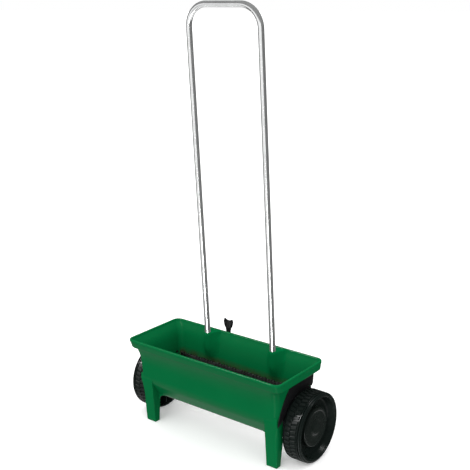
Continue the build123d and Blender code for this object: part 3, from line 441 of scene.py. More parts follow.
def socket(side):
    """One handle socket: a soft upright swelling of the rear wall, round in front of the tube."""
    across_parts = 40
    middle_x = side * HANDLE_HALF_SPREAD
    round_z = SOCKET_TOP_Z - SOCKET_TOP_ROUND
    rows = [SOCKET_FOOT_Z + (round_z - SOCKET_FOOT_Z) * step / 18 for step in range(19)]
    rows += [SOCKET_TOP_Z - SOCKET_TOP_ROUND * (1 - step / 8) for step in range(1, 9)]
    rings = []
    for z in rows:
        near_top = max(0.0, z - round_z) / SOCKET_TOP_ROUND
        drop_in = 1 - math.sqrt(max(0.0, 1 - near_top * near_top))
        flare = SOCKET_WALL_FLARE * smoothstep(BAND_FOOT_Z - 10.0, RIM_TOP_Z, z)
        wall_y = SOCKET_WALL_Y + SOCKET_WALL_LEAN * (z - SOCKET_FOOT_Z) + flare
        depth = smoothstep(SOCKET_FOOT_Z - 8.0, SOCKET_FOOT_Z + 54.0, z)
        front_y = handle_y(z) - SOCKET_RADIUS + 0.8 + 6.0 * drop_in
        ring = []
        for step in range(across_parts + 1):
            x = SOCKET_HALF_WIDTH * (2 * step / across_parts - 1)
            swell = (0.5 + 0.5 * math.cos(math.pi * x / SOCKET_HALF_WIDTH)) ** 0.8
            ring.append((middle_x + x, wall_y - (wall_y - front_y) * swell * depth, z))
        ring.append((middle_x + SOCKET_HALF_WIDTH, wall_y + 1.5, z))
        ring.append((middle_x - SOCKET_HALF_WIDTH, wall_y + 1.5, z))
        rings.append(ring)
    points, faces = loft(rings)
    return make_piece("handle_socket_" + SIDE_NAMES[side], points, faces, SHARP)


LINING_HALF_LENGTH = 218.5
LINING_TOP_Z = 161.0
LINING_BEND_Z = AXLE_Z + 36.0


def trough_lining():
    """Dark sheet of the trough that goes up the rear wall, its top edge clogged unevenly."""
    rings = []
    for step in range(round(2 * LINING_HALF_LENGTH)):
        x = -LINING_HALF_LENGTH + step
        clog = 1.2 * math.sin(0.61 * x) + 0.9 * math.sin(0.233 * x + 1.3) + 0.8 * math.sin(1.37 * x + 0.4)
        top = LINING_TOP_Z + clog
        bulge = 1.0 + 0.7 * math.sin(0.52 * x + 0.7) * math.sin(0.093 * x)
        profile = [
            (AXLE_Y + 26.0, AXLE_Z),
            (AXLE_Y + 43.0, LINING_BEND_Z),
            (AXLE_Y + 44.4 - 2.2 * bulge, top - 9.0),
            (AXLE_Y + 45.0 - 2.4 * bulge, top - 1.5),
            (AXLE_Y + 46.4, top),
            (AXLE_Y + 47.8, top - 0.8),
            (AXLE_Y + 45.5, LINING_BEND_Z),
            (AXLE_Y + 28.5, AXLE_Z),
        ]
        rings.append([(x, y, z) for y, z in profile])
    points, faces = loft(rings)
    return make_piece("trough_rear_lining", points, faces, 40.0)


# ---------------------------------------------------------------- handle
def handle():
    """The bent tube, lying in a plane that leans forwards."""
    rise = (HANDLE_TOP_Z - RIM_TOP_Z) / math.cos(HANDLE_LEAN)
    drop = (RIM_TOP_Z - TUBE_END_Z) / math.cos(HANDLE_LEAN) - 0.5
    straight = rise - HANDLE_BEND + drop
    straight_steps = 12
    bend_steps = 28
    # half of the centreline, in the handle's own plane: across, up and the turn of its heading
    path = [(-HANDLE_HALF_SPREAD, -drop, 0.0)]
    for step in range(1, straight_steps):
        path.append((-HANDLE_HALF_SPREAD, -drop + straight * step / straight_steps, 0.0))
    for step in range(bend_steps + 1):
        turn = math.pi / 2 * step / bend_steps
        path.append(
            (
                -HANDLE_HALF_SPREAD + HANDLE_BEND * (1 - math.cos(turn)),
                rise - HANDLE_BEND + HANDLE_BEND * math.sin(turn),
                turn,
            )
        )
    path += [(-x, y, math.pi - turn) for x, y, turn in reversed(path)]
    lean = HANDLE_LEAN
    around = 48
    rings = []
    for across, up, turn in path:
        ring = []
        for step in range(around):
            angle = 2 * math.pi * step / around
            sideways = TUBE_RADIUS * math.cos(angle)
            outward = TUBE_RADIUS * math.sin(angle)
            # the tube's heading turns from up, through right, to down
            u = across + sideways * math.cos(turn)
            v = up - sideways * math.sin(turn)
            ring.append(
                (
                    u,
                    HANDLE_BASE_Y - v * math.sin(lean) - outward * math.cos(lean),
                    RIM_TOP_Z + v * math.cos(lean) - outward * math.sin(lean),
                )
            )
        rings.append(ring)
    points, faces = loft(rings)
    return make_piece("handle_bar", points, faces, 60.0)


# ---------------------------------------------------------------- wheels
TREAD_RADIUS = WHEEL_RADIUS - 3.2
HUB_RADIUS = 14.0
HUB_BORE_RADIUS = 8.1
HUB_END = 34.0
WEB_OUTER = 27.5
WEB_INNER = 24.0
WHEEL_OUTLINE = (
    # distance from the wheel's inner face, radius, easing; first the hub
    (0.0, HUB_RADIUS, 0.8),
    (0.0, HUB_BORE_RADIUS, 0.3),
    (HUB_END, HUB_BORE_RADIUS, 0.3),
    (HUB_END, HUB_RADIUS, 0.8),
    # the recessed outer face of the web, up to the bead inside the tyre's edge
    (30.0, 22.0, 2.0),
    (WEB_OUTER, 46.0, 2.0),
    (WEB_OUTER, 76.0, 4.5),
    (WHEEL_WIDTH - 3.0, 82.4, 2.0),
    (WHEEL_WIDTH - 2.6, 84.0, 0.5),
    (WHEEL_WIDTH - 0.2, 84.6, 0.6),
    (WHEEL_WIDTH, 88.0, 1.0),
    (WHEEL_WIDTH - 2.2, 88.6, 0.5),
    # the outer shoulder, with a groove between its two ridges
    (WHEEL_WIDTH - 2.4, 92.2, 0.9),
    (WHEEL_WIDTH - 5.6, WHEEL_RADIUS - 0.2, 0.8),
    (WHEEL_WIDTH - 6.2, TREAD_RADIUS - 1.0, 0.5),
    (WHEEL_WIDTH - 8.4, TREAD_RADIUS - 1.0, 0.5),
    (WHEEL_WIDTH - 9.0, WHEEL_RADIUS - 0.1, 0.8),
    (WHEEL_WIDTH - 12.0, WHEEL_RADIUS - 0.1, 0.8),
    # the tread and the inner shoulder
    (WHEEL_WIDTH - 12.6, TREAD_RADIUS, 0.4),
    (3.6, TREAD_RADIUS, 0.4),
    (3.0, WHEEL_RADIUS - 0.6, 0.8),
    (0.4, 92.0, 1.0),
    (0.0, 89.0, 1.0),
    # the inner face of the ring and of the web
    (2.0, 88.0, 1.0),
    (WEB_INNER, 86.0, 3.0),
    (WEB_INNER, HUB_RADIUS, 1.0),
)
LUG_ROWS = 2
LUGS_PER_ROW = 46
LUG_LAYERS = (
    # radius, half width in shares of the pitch, margin at the lug's ends
    (TREAD_RADIUS - 0.6, 0.31, 0.5),
    (WHEEL_RADIUS - 0.45, 0.27, 1.0),
    (WHEEL_RADIUS - 0.05, 0.22, 1.5),
)
LUG_SLANT = 0.22
LUGS_START = 4.6
LUGS_END = WHEEL_WIDTH - 13.4
RIB_COUNT = 8
RIB_REACH = (HUB_RADIUS - 1.0, 87.5)
# distance from the wheel's inner face, half thickness
RIB_LAYERS = ((4.0, 1.0), (4.6, 1.4), (24.5, 1.6))


def wheel(side):
    profile = eased(WHEEL_OUTLINE, steps=3)
    return turned("road_wheel_" + SIDE_NAMES[side], profile, side, 180)


def tread(side):
    """Rows of short raised lugs round the tread, each row half a step from the next."""
    points = []
    faces = []
    row_width = (LUGS_END - LUGS_START) / LUG_ROWS
    pitch = 2 * math.pi / LUGS_PER_ROW
    for row in range(LUG_ROWS):
        for count in range(LUGS_PER_ROW):
            middle = (count + 0.5 * (row % 2)) * pitch
            base = len(points)
            for radius, spread, margin in LUG_LAYERS:
                for end, turn in ((0, -1), (1, -1), (1, 1), (0, 1)):
                    along = LUGS_START + row * row_width + (margin if end == 0 else row_width - margin)
                    slant = LUG_SLANT * pitch * (end - 0.5) * (-1) ** row
                    points.append(on_wheel(side, along, radius, middle + turn * spread * pitch + slant))
            faces += stack_faces(base)
    return make_piece("tread_lugs_" + SIDE_NAMES[side], points, faces, 30.0)


def wheel_ribs(side):
    """Straight ribs behind the web, from the hub to the tread ring."""
    points = []
    faces = []
    from_hub, to_ring = RIB_REACH
    for count in range(RIB_COUNT):
        angle = 2 * math.pi * count / RIB_COUNT
        out = Vector((0, math.cos(angle), math.sin(angle)))
        across = Vector((0, -math.sin(angle), math.cos(angle)))
        base = len(points)
        for x, half in RIB_LAYERS:
            for reach, turn in ((from_hub, -1), (to_ring, -1), (to_ring, 1), (from_hub, 1)):
                place = out * reach + across * (turn * half)
                points.append((side * (WHEEL_INNER_X + x), AXLE_Y + place.y, AXLE_Z + place.z))
        faces += stack_faces(base)
    return make_piece("wheel_ribs_" + SIDE_NAMES[side], points, faces, 30.0)


CAP_RADIUS = 53.5
CAP_INNER_RADIUS = 50.6
CAP_FOOT = 27.6
CAP_CENTRE_RADIUS = 0.05
CAP_OUTLINE = (
    # distance from the wheel's inner face, radius, easing; first the outside, from the rim to the centre
    (CAP_FOOT, CAP_RADIUS, 0.2),
    (41.0, CAP_RADIUS, 1.8),
    (44.0, 50.6, 1.6),
    (44.0, 46.4, 1.4),
    (42.5, 43.8, 1.2),
    (43.1, 22.5, 1.0),
    (45.0, 20.2, 1.0),
    (46.0, 16.5, 1.2),
    (46.0, CAP_CENTRE_RADIUS, 0),
    # the inside, back to the rim
    (43.6, CAP_CENTRE_RADIUS, 0),
    (43.6, 15.5, 0.5),
    (40.6, 20.4, 0.5),
    (40.2, 39.0, 0.5),
    (41.0, 47.0, 0.5),
    (40.4, CAP_INNER_RADIUS, 0.5),
    (CAP_FOOT, CAP_INNER_RADIUS, 0.2),
)


def hub_cap(side):
    profile = eased(CAP_OUTLINE, steps=4)
    return turned("wheel_cap_" + SIDE_NAMES[side], profile, side, 128)


# ---------------------------------------------------------------- flat pieces
def flat_piece(name, outline, place, depth, edge):
    """A flat piece with rounded edges. place turns a point of the outline into millimetres, and depth
    is the vector through its thickness."""
    mesh = bpy.data.meshes.new(name)
    bm = bmesh.new()
    face = bm.faces.new([bm.verts.new(Vector(place(*point)) * MM) for point in outline])
    made = bmesh.ops.extrude_face_region(bm, geom=[face])
    back = [item for item in made["geom"] if isinstance(item, bmesh.types.BMVert)]
    bmesh.ops.translate(bm, verts=back, vec=Vector(depth) * MM)
    bmesh.ops.recalc_face_normals(bm, faces=bm.faces)
    edges = []
    for item in bm.edges:
        if len(item.link_faces) == 2 and item.calc_face_angle() > math.radians(50):
            edges.append(item)
    bmesh.ops.bevel(bm, geom=edges, offset=edge * MM, segments=3, affect="EDGES", profile=0.5)
    bm.to_mesh(mesh)
    bm.free()
    return put_in_scene(name, mesh, 40.0)


SHIELD_TOP_Z = 226.0
SHIELD_REAR_Y = 71.0
SHIELD_REAR_Z = 192.0
SHIELD_CHAMFER = 5.0
SHIELD_FRONT_Z = 128.0
SHIELD_DEPTH = 2.4
# the arched front edge, from below: y and z
SHIELD_ARCH = (
    (-84.0, 123.0),
    (-82.0, 141.0),
    (-76.0, 161.0),
    (-66.0, 183.0),
    (-54.0, 202.0),
    (-40.0, 217.0),
    (-26.0, SHIELD_TOP_Z),
)


def end_shield(side):
    """Black arched shield on an end wall, between the wheel's pocket and the foot of the rim band."""
    pocket = POCKET_RADIUS + 1.5
    rear_y = SHIELD_REAR_Y - SHIELD_CHAMFER
    chamfer_z = SHIELD_TOP_Z - SHIELD_CHAMFER
    outline = list(SHIELD_ARCH)
    outline += [(rear_y, SHIELD_TOP_Z), (SHIELD_REAR_Y, chamfer_z), (SHIELD_REAR_Y, SHIELD_REAR_Z)]
    last = math.acos((rear_y - AXLE_Y) / pocket)
    first = math.pi - math.asin((SHIELD_FRONT_Z - AXLE_Z) / pocket)
    for step in range(25):
        angle = last + (first - last) * step / 24
        outline.append((AXLE_Y + pocket * math.cos(angle), AXLE_Z + pocket * math.sin(angle)))

    def place(y, z):
        lean = (BODY_TOP[1] - BODY_BEND[1]) / (BODY_TOP[0] - BODY_BEND[0])
        return (side * (BODY_BEND[1] + lean * (z - BODY_BEND[0]) - 0.4), y, z)

    depth = (side * SHIELD_DEPTH, 0, 0)
    return flat_piece("end_shield_" + SIDE_NAMES[side], outline, place, depth, 0.8)


# ---------------------------------------------------------------- lever
LEVER_MIDDLE_X = (LEVER_LOW.x + LEVER_HIGH.x) / 2
LEVER_HALF_HEAD = (LEVER_HIGH.x - LEVER_LOW.x) / 2
LEVER_HALF_STEM = 5.5
LEVER_HALF_ARM = 3.5
LEVER_HALF_NECK = 7.0
LEVER_NECK_Z = RIM_TOP_Z - 2.0
LEVER_PIVOT_Z = 100.0
LEVER_EYE_RADIUS = 11.0
LEVER_PEG_RADIUS = 5.0
LEVER_DIP = 5.0
GRIP_BARS = 7
GRIP_HALF_DEPTH = 4.8
GRIP_STAND_OUT = 1.2
# height in shares of the pitch, and how far the bar's outline is drawn in there
GRIP_LEVELS = ((-0.46, 1.5), (-0.34, 0.4), (0.0, 0.0), (0.34, 0.4), (0.46, 1.5))


def lever_half_width(z):
    """Half width of the lever's fan-shaped upper part."""
    share = (z - LEVER_NECK_Z) / (LEVER_HIGH.z - LEVER_NECK_Z)
    return LEVER_HALF_NECK + (LEVER_HALF_HEAD - LEVER_HALF_NECK) * smoothstep(0.0, 1.0, share + 0.12)


def arc(radius, height, first, sweep, steps):
    """Points of an arc round the lever's middle line at a height."""
    points = []
    for step in range(steps + 1):
        angle = first + sweep * step / steps
        points.append((radius * math.cos(angle), height + radius * math.sin(angle)))
    return points


def lever():
    """Flat lever with a fan-shaped head, its edges rounded."""
    top = LEVER_HIGH.z
    corner = LEVER_HALF_HEAD - 2.4
    right = [(LEVER_HALF_STEM, LEVER_NECK_Z - 28.0)]
    for step in range(9):
        z = LEVER_NECK_Z + (top - 2.0 - LEVER_NECK_Z) * step / 8
        right.append((lever_half_width(z), z))
    head_end = [(LEVER_HALF_HEAD - 0.8, top - 0.6), (corner, top)]
    outline = right + head_end
    outline += [(x, top - LEVER_DIP * (1 - (x / corner) ** 2)) for x in (8.0, 4.0, 0.0, -4.0, -8.0)]
    outline += [(-x, z) for x, z in reversed(right + head_end)]
    # down the left side: round the pivot's eye, along the lower arm and round the peg
    stem_join = math.asin(LEVER_HALF_STEM / LEVER_EYE_RADIUS)
    arm_join = math.asin(LEVER_HALF_ARM / LEVER_EYE_RADIUS)
    peg_join = math.asin(LEVER_HALF_ARM / LEVER_PEG_RADIUS)
    peg_z = LEVER_LOW.z + LEVER_PEG_RADIUS
    left = arc(LEVER_EYE_RADIUS, LEVER_PIVOT_Z, math.pi / 2 + stem_join, math.pi - stem_join - arm_join, 8)
    left += arc(LEVER_PEG_RADIUS, peg_z, math.pi / 2 + peg_join, math.pi - peg_join, 6)
    outline += left
    outline += [(-x, z) for x, z in reversed(left[:-1])]
    return flat_piece(
        "control_lever_blade",
        outline,
        lambda x, z: (LEVER_MIDDLE_X + x, LEVER_LOW.y, z),
        (0, LEVER_HIGH.y - LEVER_LOW.y, 0),
        0.9,
    )


def lever_grip():
    """Ribbed grip round the head of the lever: a row of rounded bars that stand out all round it."""
    points = []
    faces = []
    first_z = RIM_TOP_Z + 12.0
    pitch = (LEVER_HIGH.z - 7.0 - first_z) / (GRIP_BARS - 1)
    middle_y = (LEVER_LOW.y + LEVER_HIGH.y) / 2
    for bar in range(GRIP_BARS):
        z = first_z + bar * pitch
        rings = []
        for rise, shrink in GRIP_LEVELS:
            half_x = lever_half_width(z) + GRIP_STAND_OUT - shrink
            half_y = GRIP_HALF_DEPTH - shrink
            corners = ((-half_x, -half_y), (half_x, -half_y), (half_x, half_y), (-half_x, half_y))
            outline = eased([(x, y, 3.0) for x, y in corners], steps=5)
            rings.append([(LEVER_MIDDLE_X + x, middle_y + y, z + rise * pitch) for x, y in outline])
        base = len(points)
        bar_points, bar_faces = loft(rings)
        points += bar_points
        faces += [tuple(base + corner for corner in face) for face in bar_faces]
    return make_piece("lever_grip_ribs", points, faces, 50.0)


# ---------------------------------------------------------------- materials
def new_material(name):
    """A material with its nodes, its links and its shader."""
    material = bpy.data.materials.new(name)
    material.use_nodes = True
    nodes = material.node_tree.nodes
    return material, nodes, material.node_tree.links, nodes["Principled BSDF"]


def noise_texture(nodes, links, scale, detail, roughness, stretch=(1, 1, 1)):
    """Noise in the object's own metres."""
    place = nodes.new("ShaderNodeTexCoord")
    mapping = nodes.new("ShaderNodeMapping")
    mapping.inputs["Scale"].default_value = stretch
    texture = nodes.new("ShaderNodeTexNoise")
    texture.inputs["Scale"].default_value = scale
    texture.inputs["Detail"].default_value = detail
    texture.inputs["Roughness"].default_value = roughness
    links.new(place.outputs["Object"], mapping.inputs["Vector"])
    links.new(mapping.outputs["Vector"], texture.inputs["Vector"])
    return texture


def ramp(nodes, links, source, stops):
    """Colour ramp: stops are (position, colour)."""
    element = nodes.new("ShaderNodeValToRGB")
    while len(element.color_ramp.elements) < len(stops):
        element.color_ramp.elements.new(0.5)
    for slot, (position, colour) in zip(element.color_ramp.elements, stops):
        slot.position = position
        slot.color = (*colour, 1.0)
    links.new(source, element.inputs["Fac"])
    return element


def value_range(nodes, links, source, low, high, out_low, out_high):
    """Turns values from low to high into values from out_low to out_high, and holds them there."""
    node = nodes.new("ShaderNodeMapRange")
    node.inputs["From Min"].default_value = low
    node.inputs["From Max"].default_value = high
    node.inputs["To Min"].default_value = out_low
    node.inputs["To Max"].default_value = out_high
    links.new(source, node.inputs["Value"])
    return node


def add_bump(nodes, links, shader, source, distance, strength, before=None):
    """Relief for a shader, on top of the relief before; its distance is in metres."""
    bump = nodes.new("ShaderNodeBump")
    bump.inputs["Strength"].default_value = strength
    bump.inputs["Distance"].default_value = distance
    links.new(source, bump.inputs["Height"])
    if before is not None:
        links.new(before.outputs["Normal"], bump.inputs["Normal"])
    links.new(bump.outputs["Normal"], shader.inputs["Normal"])
    return bump


def mix_colour(nodes, links, factor, first, second):
    """Mix of two colours by a socket; each colour is a socket or a plain colour."""
    mix = nodes.new("ShaderNodeMix")
    mix.data_type = "RGBA"
    links.new(factor, mix.inputs["Factor"])
    for value, socket in ((first, mix.inputs[6]), (second, mix.inputs[7])):
        if isinstance(value, tuple):
            socket.default_value = (*value, 1.0)
        else:
            links.new(value, socket)
    return mix.outputs[2]


def math_node(nodes, links, operation, *inputs):
    """Maths on sockets and numbers; gives the result's socket."""
    node = nodes.new("ShaderNodeMath")
    node.operation = operation
    for value, socket in zip(inputs, node.inputs):
        if isinstance(value, (int, float)):
            socket.default_value = value
        else:
            links.new(value, socket)
    return node.outputs["Value"]


MOTTLE = 0.12
GRAIN = 0.00004


def moulded_plastic(name, colour, roughness, gloss=0.5):
    """Moulded plastic: slight mottling, uneven gloss, a fine grain and a slow waviness."""
    material, nodes, links, shader = new_material(name)
    cloud = noise_texture(nodes, links, scale=9.0, detail=5.0, roughness=0.6)
    darker = tuple(c * (1 - MOTTLE) for c in colour)
    lighter = tuple(c * (1 + MOTTLE) + 0.002 for c in colour)
    tint = ramp(nodes, links, cloud.outputs["Fac"], ((0.3, darker), (0.7, lighter)))
    links.new(tint.outputs["Color"], shader.inputs["Base Color"])
    smear = noise_texture(nodes, links, scale=34.0, detail=6.0, roughness=0.65)
    rough = value_range(nodes, links, smear.outputs["Fac"], 0.3, 0.7, roughness * 0.8, roughness * 1.25)
    links.new(rough.outputs["Result"], shader.inputs["Roughness"])
    shader.inputs["Specular IOR Level"].default_value = gloss
    wave = noise_texture(nodes, links, scale=14.0, detail=1.0, roughness=0.4)
    fine = noise_texture(nodes, links, scale=1400.0, detail=2.0, roughness=0.5)
    first = add_bump(nodes, links, shader, wave.outputs["Fac"], distance=0.0006, strength=0.35)
    add_bump(nodes, links, shader, fine.outputs["Fac"], distance=GRAIN, strength=0.6, before=first)
    return material


def metal(name, colour, roughness, scratch=0.00003, stretch=(1, 1, 1), metallic=1.0):
    """Bare or plated metal with fine drawn lines and slight stains."""
    material, nodes, links, shader = new_material(name)
    shader.inputs["Metallic"].default_value = metallic
    stain = noise_texture(nodes, links, scale=22.0, detail=6.0, roughness=0.6)
    dull = tuple(c * 0.86 for c in colour)
    tint = ramp(nodes, links, stain.outputs["Fac"], ((0.35, dull), (0.62, colour)))
    links.new(tint.outputs["Color"], shader.inputs["Base Color"])
    rough = value_range(nodes, links, stain.outputs["Fac"], 0.3, 0.7, roughness * 1.4, roughness * 0.8)
    links.new(rough.outputs["Result"], shader.inputs["Roughness"])
    lines = noise_texture(nodes, links, scale=900.0, detail=3.0, roughness=0.6, stretch=stretch)
    add_bump(nodes, links, shader, lines.outputs["Fac"], distance=scratch, strength=0.5)
    return material


GREEN = (0.0012, 0.126, 0.037)
# colour of the brown tint low on the inside of the rear wall
BROWN_TINT = (0.034, 0.040, 0.016)
# the brown tint thins out between these heights, in metres
BROWN_TINT_FULL_Z = 0.160
BROWN_TINT_END_Z = 0.178
WHEEL_BLACK = (0.0065, 0.0105, 0.0090)


def hopper_material(name, gloss):
    """Green moulded plastic, tinted brown in patches low on the inside of the rear wall."""
    material, nodes, links, shader = new_material(name)
    cloud = noise_texture(nodes, links, scale=7.0, detail=5.0, roughness=0.55)
    darker = tuple(c * 0.95 for c in GREEN)
    lighter = tuple(c * 1.05 for c in GREEN)
    tint = ramp(nodes, links, cloud.outputs["Fac"], ((0.3, darker), (0.7, lighter)))
    # the brown tint is where all of these meet: low down, on faces that look forwards, at the rear, in
    # patches
    place = nodes.new("ShaderNodeTexCoord")
    axes = nodes.new("ShaderNodeSeparateXYZ")
    links.new(place.outputs["Object"], axes.inputs["Vector"])
    height = value_range(nodes, links, axes.outputs["Z"], BROWN_TINT_FULL_Z, BROWN_TINT_END_Z, 1.0, 0.0)
    normal = nodes.new("ShaderNodeNewGeometry")
    facing = nodes.new("ShaderNodeSeparateXYZ")
    links.new(normal.outputs["Normal"], facing.inputs["Vector"])
    inside_rear = value_range(nodes, links, facing.outputs["Y"], -0.3, -0.7, 0.0, 1.0)
    behind = value_range(nodes, links, axes.outputs["Y"], 0.030, 0.055, 0.0, 1.0)
    tint_patches = noise_texture(nodes, links, scale=46.0, detail=6.0, roughness=0.7)
    patchy = value_range(nodes, links, tint_patches.outputs["Fac"], 0.34, 0.66, 0.25, 1.1)
    tint_mask = height.outputs["Result"]
    for factor in (inside_rear, behind, patchy):
        tint_mask = math_node(nodes, links, "MULTIPLY", tint_mask, factor.outputs["Result"])
        tint_mask.node.use_clamp = True
    colour = mix_colour(nodes, links, tint_mask, tint.outputs["Color"], BROWN_TINT)
    links.new(colour, shader.inputs["Base Color"])
    smear = noise_texture(nodes, links, scale=30.0, detail=6.0, roughness=0.65)
    rough = value_range(nodes, links, smear.outputs["Fac"], 0.3, 0.7, 0.18, 0.27)
    links.new(rough.outputs["Result"], shader.inputs["Roughness"])
    shader.inputs["Specular IOR Level"].default_value = gloss
    wave = noise_texture(nodes, links, scale=9.0, detail=1.0, roughness=0.4)
    fine = noise_texture(nodes, links, scale=1300.0, detail=2.0, roughness=0.5)
    first = add_bump(nodes, links, shader, wave.outputs["Fac"], distance=0.0005, strength=0.3)
    add_bump(nodes, links, shader, fine.outputs["Fac"], distance=GRAIN, strength=0.6, before=first)
    return material


MATERIALS = {
    "hopper_plastic": hopper_material("hopper_green", 0.03),
    "trough_plastic": moulded_plastic("trough_black", (0.006, 0.009, 0.006), 0.55, gloss=0.15),
    "plate_black": moulded_plastic("bearing_black", (0.006, 0.006, 0.007), 0.5, gloss=0.2),
    "handle_chrome": metal(
        "plated_tube", (0.88, 0.89, 0.89), 0.12, scratch=0.00001, stretch=(1, 1, 0.05), metallic=0.82
    ),
    "zinc_steel": metal("zinc_plate", (0.62, 0.61, 0.58), 0.32),
    "bush_plastic": moulded_plastic("natural_nylon", (0.58, 0.55, 0.47), 0.45),
    "axle_steel": metal("drawn_steel", (0.56, 0.56, 0.55), 0.25, stretch=(0.05, 1, 1)),
    "wheel_plastic": moulded_plastic("wheel_black", WHEEL_BLACK, 0.26, gloss=0.06),
    "hub_cap_plastic": moulded_plastic("cap_black", (0.008, 0.012, 0.010), 0.24, gloss=0.14),
    "lever_plastic": moulded_plastic("lever_black", (0.0035, 0.004, 0.004), 0.4, gloss=0.05),
    "shutter_steel": metal("shutter_plate_steel", (0.6, 0.6, 0.57), 0.3),
}
# finishes of their own for two kinds of piece whose slot is the hopper's or the wheel's plastic
MATT_GREEN = hopper_material("socket_green", 0.0)
TREAD_BLACK = moulded_plastic("tread_black", WHEEL_BLACK, 0.5, gloss=0.08)
SLOT_OF_NODE = {part["node"]: part["material_slot"] for part in frame["record"]["subparts"]}


def finish_cad_nodes():
    """Each CAD node gets its slot's material."""
    for name, node in NODES.items():
        node.data.materials.clear()
        node.data.materials.append(MATERIALS[SLOT_OF_NODE[name]])


def dress(piece, body, slot, *replaced):
    """Puts a new piece in place of CAD nodes, with a material slot's finish."""
    piece.data.materials.append(MATERIALS[slot])
    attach(piece, body)
    if replaced:
        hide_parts(*replaced)
    return piece


# ---------------------------------------------------------------- stage, lights and camera
FLOOR_SIZE = 240.0
FLOOR_GREY = 0.92
FLOOR_GLOW = 0.18


def build_stage():
    """A very wide pale floor, so that it fills the picture under and behind the object."""
    bpy.ops.mesh.primitive_plane_add(size=FLOOR_SIZE, location=(0, 0, 0))
    floor = bpy.context.active_object
    floor.name = "studio_floor"
    material, nodes, links, shader = new_material("studio_floor_white")
    shader.inputs["Base Color"].default_value = (FLOOR_GREY, FLOOR_GREY, FLOOR_GREY, 1.0)
    shader.inputs["Roughness"].default_value = 0.9
    shader.inputs["Specular IOR Level"].default_value = 0.0
    shader.inputs["Emission Color"].default_value = (1.0, 1.0, 1.0, 1.0)
    shader.inputs["Emission Strength"].default_value = FLOOR_GLOW
    floor.data.materials.append(material)
    floor.visible_glossy = False
    floor.visible_diffuse = False


def grey_ramp(nodes, links, source, low, high, stops):
    """Grey level from a value between low and high; stops are (value, level)."""
    spread = value_range(nodes, links, source, low, high, 0.0, 1.0)
    colours = tuple(((value - low) / (high - low), (level, level, level)) for value, level in stops)
    return ramp(nodes, links, spread.outputs["Result"], colours).outputs["Color"]


# level directions that the studio's walls are placed from
TO_CAMERA = (0.609, -0.793, 0.0)
CAMERA_RIGHT = (0.793, 0.609, 0.0)
SOFT_FILL_BELOW = 0.48
SOFT_FILL_ABOVE = 1.3
PANEL_STRENGTH = 14.0
STUDIO_WHITE = (0.95, 0.95, 0.95)
STUDIO_CEILING = (0.10, 0.10, 0.10)
# upright parts of a direction between which the studio changes from its walls to another zone
CEILING_BOUNDS = (0.10, 0.22)
GROUND_BOUNDS = (-0.36, -0.50)
PANEL_BOUNDS = (-0.36, -0.42)
FLOOR_BOUNDS = (-0.54, -0.62)
# grey levels round the studio, from the angle about the upright axis: 0 is towards the camera, and
# negative angles are on the picture's left
STUDIO_WALLS = (
    (-math.pi, 0.1),
    (-1.65, 0.05),
    (-1.5, 1.0),
    (0.0, 1.0),
    (0.2, 0.06),
    (1.6, 0.04),
    (2.4, 0.2),
    (math.pi, 0.1),
)
# the same for the ground in front, and for the bright panel
STUDIO_GROUND = ((-0.95, 0.03), (-0.75, 0.9), (0.15, 0.9), (0.35, 0.03))
STUDIO_PANEL = ((-0.32, 0.0), (-0.26, 1.0), (-0.12, 1.0), (-0.06, 0.0))


def build_world():
    """White behind everything, an even fill for matt surfaces, and for shiny ones a studio of its own:
    white walls to the left of the camera, dark ones elsewhere, a dark ceiling and a white floor below."""
    world = bpy.data.worlds.new("studio")
    bpy.context.scene.world = world
    world.use_nodes = True
    nodes = world.node_tree.nodes
    links = world.node_tree.links
    background = nodes["Background"]
    place = nodes.new("ShaderNodeTexCoord")
    reach = []
    for direction in (CAMERA_RIGHT, TO_CAMERA):
        along = nodes.new("ShaderNodeVectorMath")
        along.operation = "DOT_PRODUCT"
        along.inputs[1].default_value = direction
        links.new(place.outputs["Generated"], along.inputs[0])
        reach.append(along.outputs["Value"])
    turn = math_node(nodes, links, "ARCTAN2", *reach)
    around = grey_ramp(nodes, links, turn, -math.pi, math.pi, STUDIO_WALLS)
    ground = grey_ramp(nodes, links, turn, -math.pi, math.pi, STUDIO_GROUND)
    axes = nodes.new("ShaderNodeSeparateXYZ")
    links.new(place.outputs["Generated"], axes.inputs["Vector"])
    above = value_range(nodes, links, axes.outputs["Z"], *CEILING_BOUNDS, 0.0, 1.0)
    below = value_range(nodes, links, axes.outputs["Z"], *GROUND_BOUNDS, 0.0, 1.0)
    studio = mix_colour(nodes, links, above.outputs["Result"], around, STUDIO_CEILING)
    studio = mix_colour(nodes, links, below.outputs["Result"], studio, ground)
    straight_down = value_range(nodes, links, axes.outputs["Z"], *FLOOR_BOUNDS, 0.0, 1.0)
    studio = mix_colour(nodes, links, straight_down.outputs["Result"], studio, STUDIO_WHITE)
    soft_fill = ((-0.3, SOFT_FILL_BELOW), (0.3, SOFT_FILL_ABOVE))
    fill = grey_ramp(nodes, links, axes.outputs["Z"], -1.0, 1.0, soft_fill)
    path = nodes.new("ShaderNodeLightPath")
    seen = mix_colour(nodes, links, path.outputs["Is Glossy Ray"], fill, studio)
    seen = mix_colour(nodes, links, path.outputs["Is Camera Ray"], seen, (1.0, 1.0, 1.0))
    links.new(seen, background.inputs["Color"])
    # a narrow, very bright panel beside the camera makes the upright glints
    panel = grey_ramp(nodes, links, turn, -1.0, 1.0, STUDIO_PANEL)
    low = value_range(nodes, links, axes.outputs["Z"], *PANEL_BOUNDS, 0.0, PANEL_STRENGTH)
    glint = math_node(nodes, links, "MULTIPLY", panel, low.outputs["Result"])
    glint = math_node(nodes, links, "MULTIPLY", glint, path.outputs["Is Glossy Ray"])
    links.new(math_node(nodes, links, "ADD", glint, 1.0), background.inputs["Strength"])


def add_area_light(name, place, target, size, power):
    data = bpy.data.lights.new(name, "AREA")
    data.shape = "RECTANGLE"
    data.size, data.size_y = size
    data.energy = power
    light = bpy.data.objects.new(name, data)
    light.location = place
    light.rotation_euler = (Vector(target) - Vector(place)).to_track_quat("-Z", "Y").to_euler()
    bpy.context.scene.collection.objects.link(light)
    return light


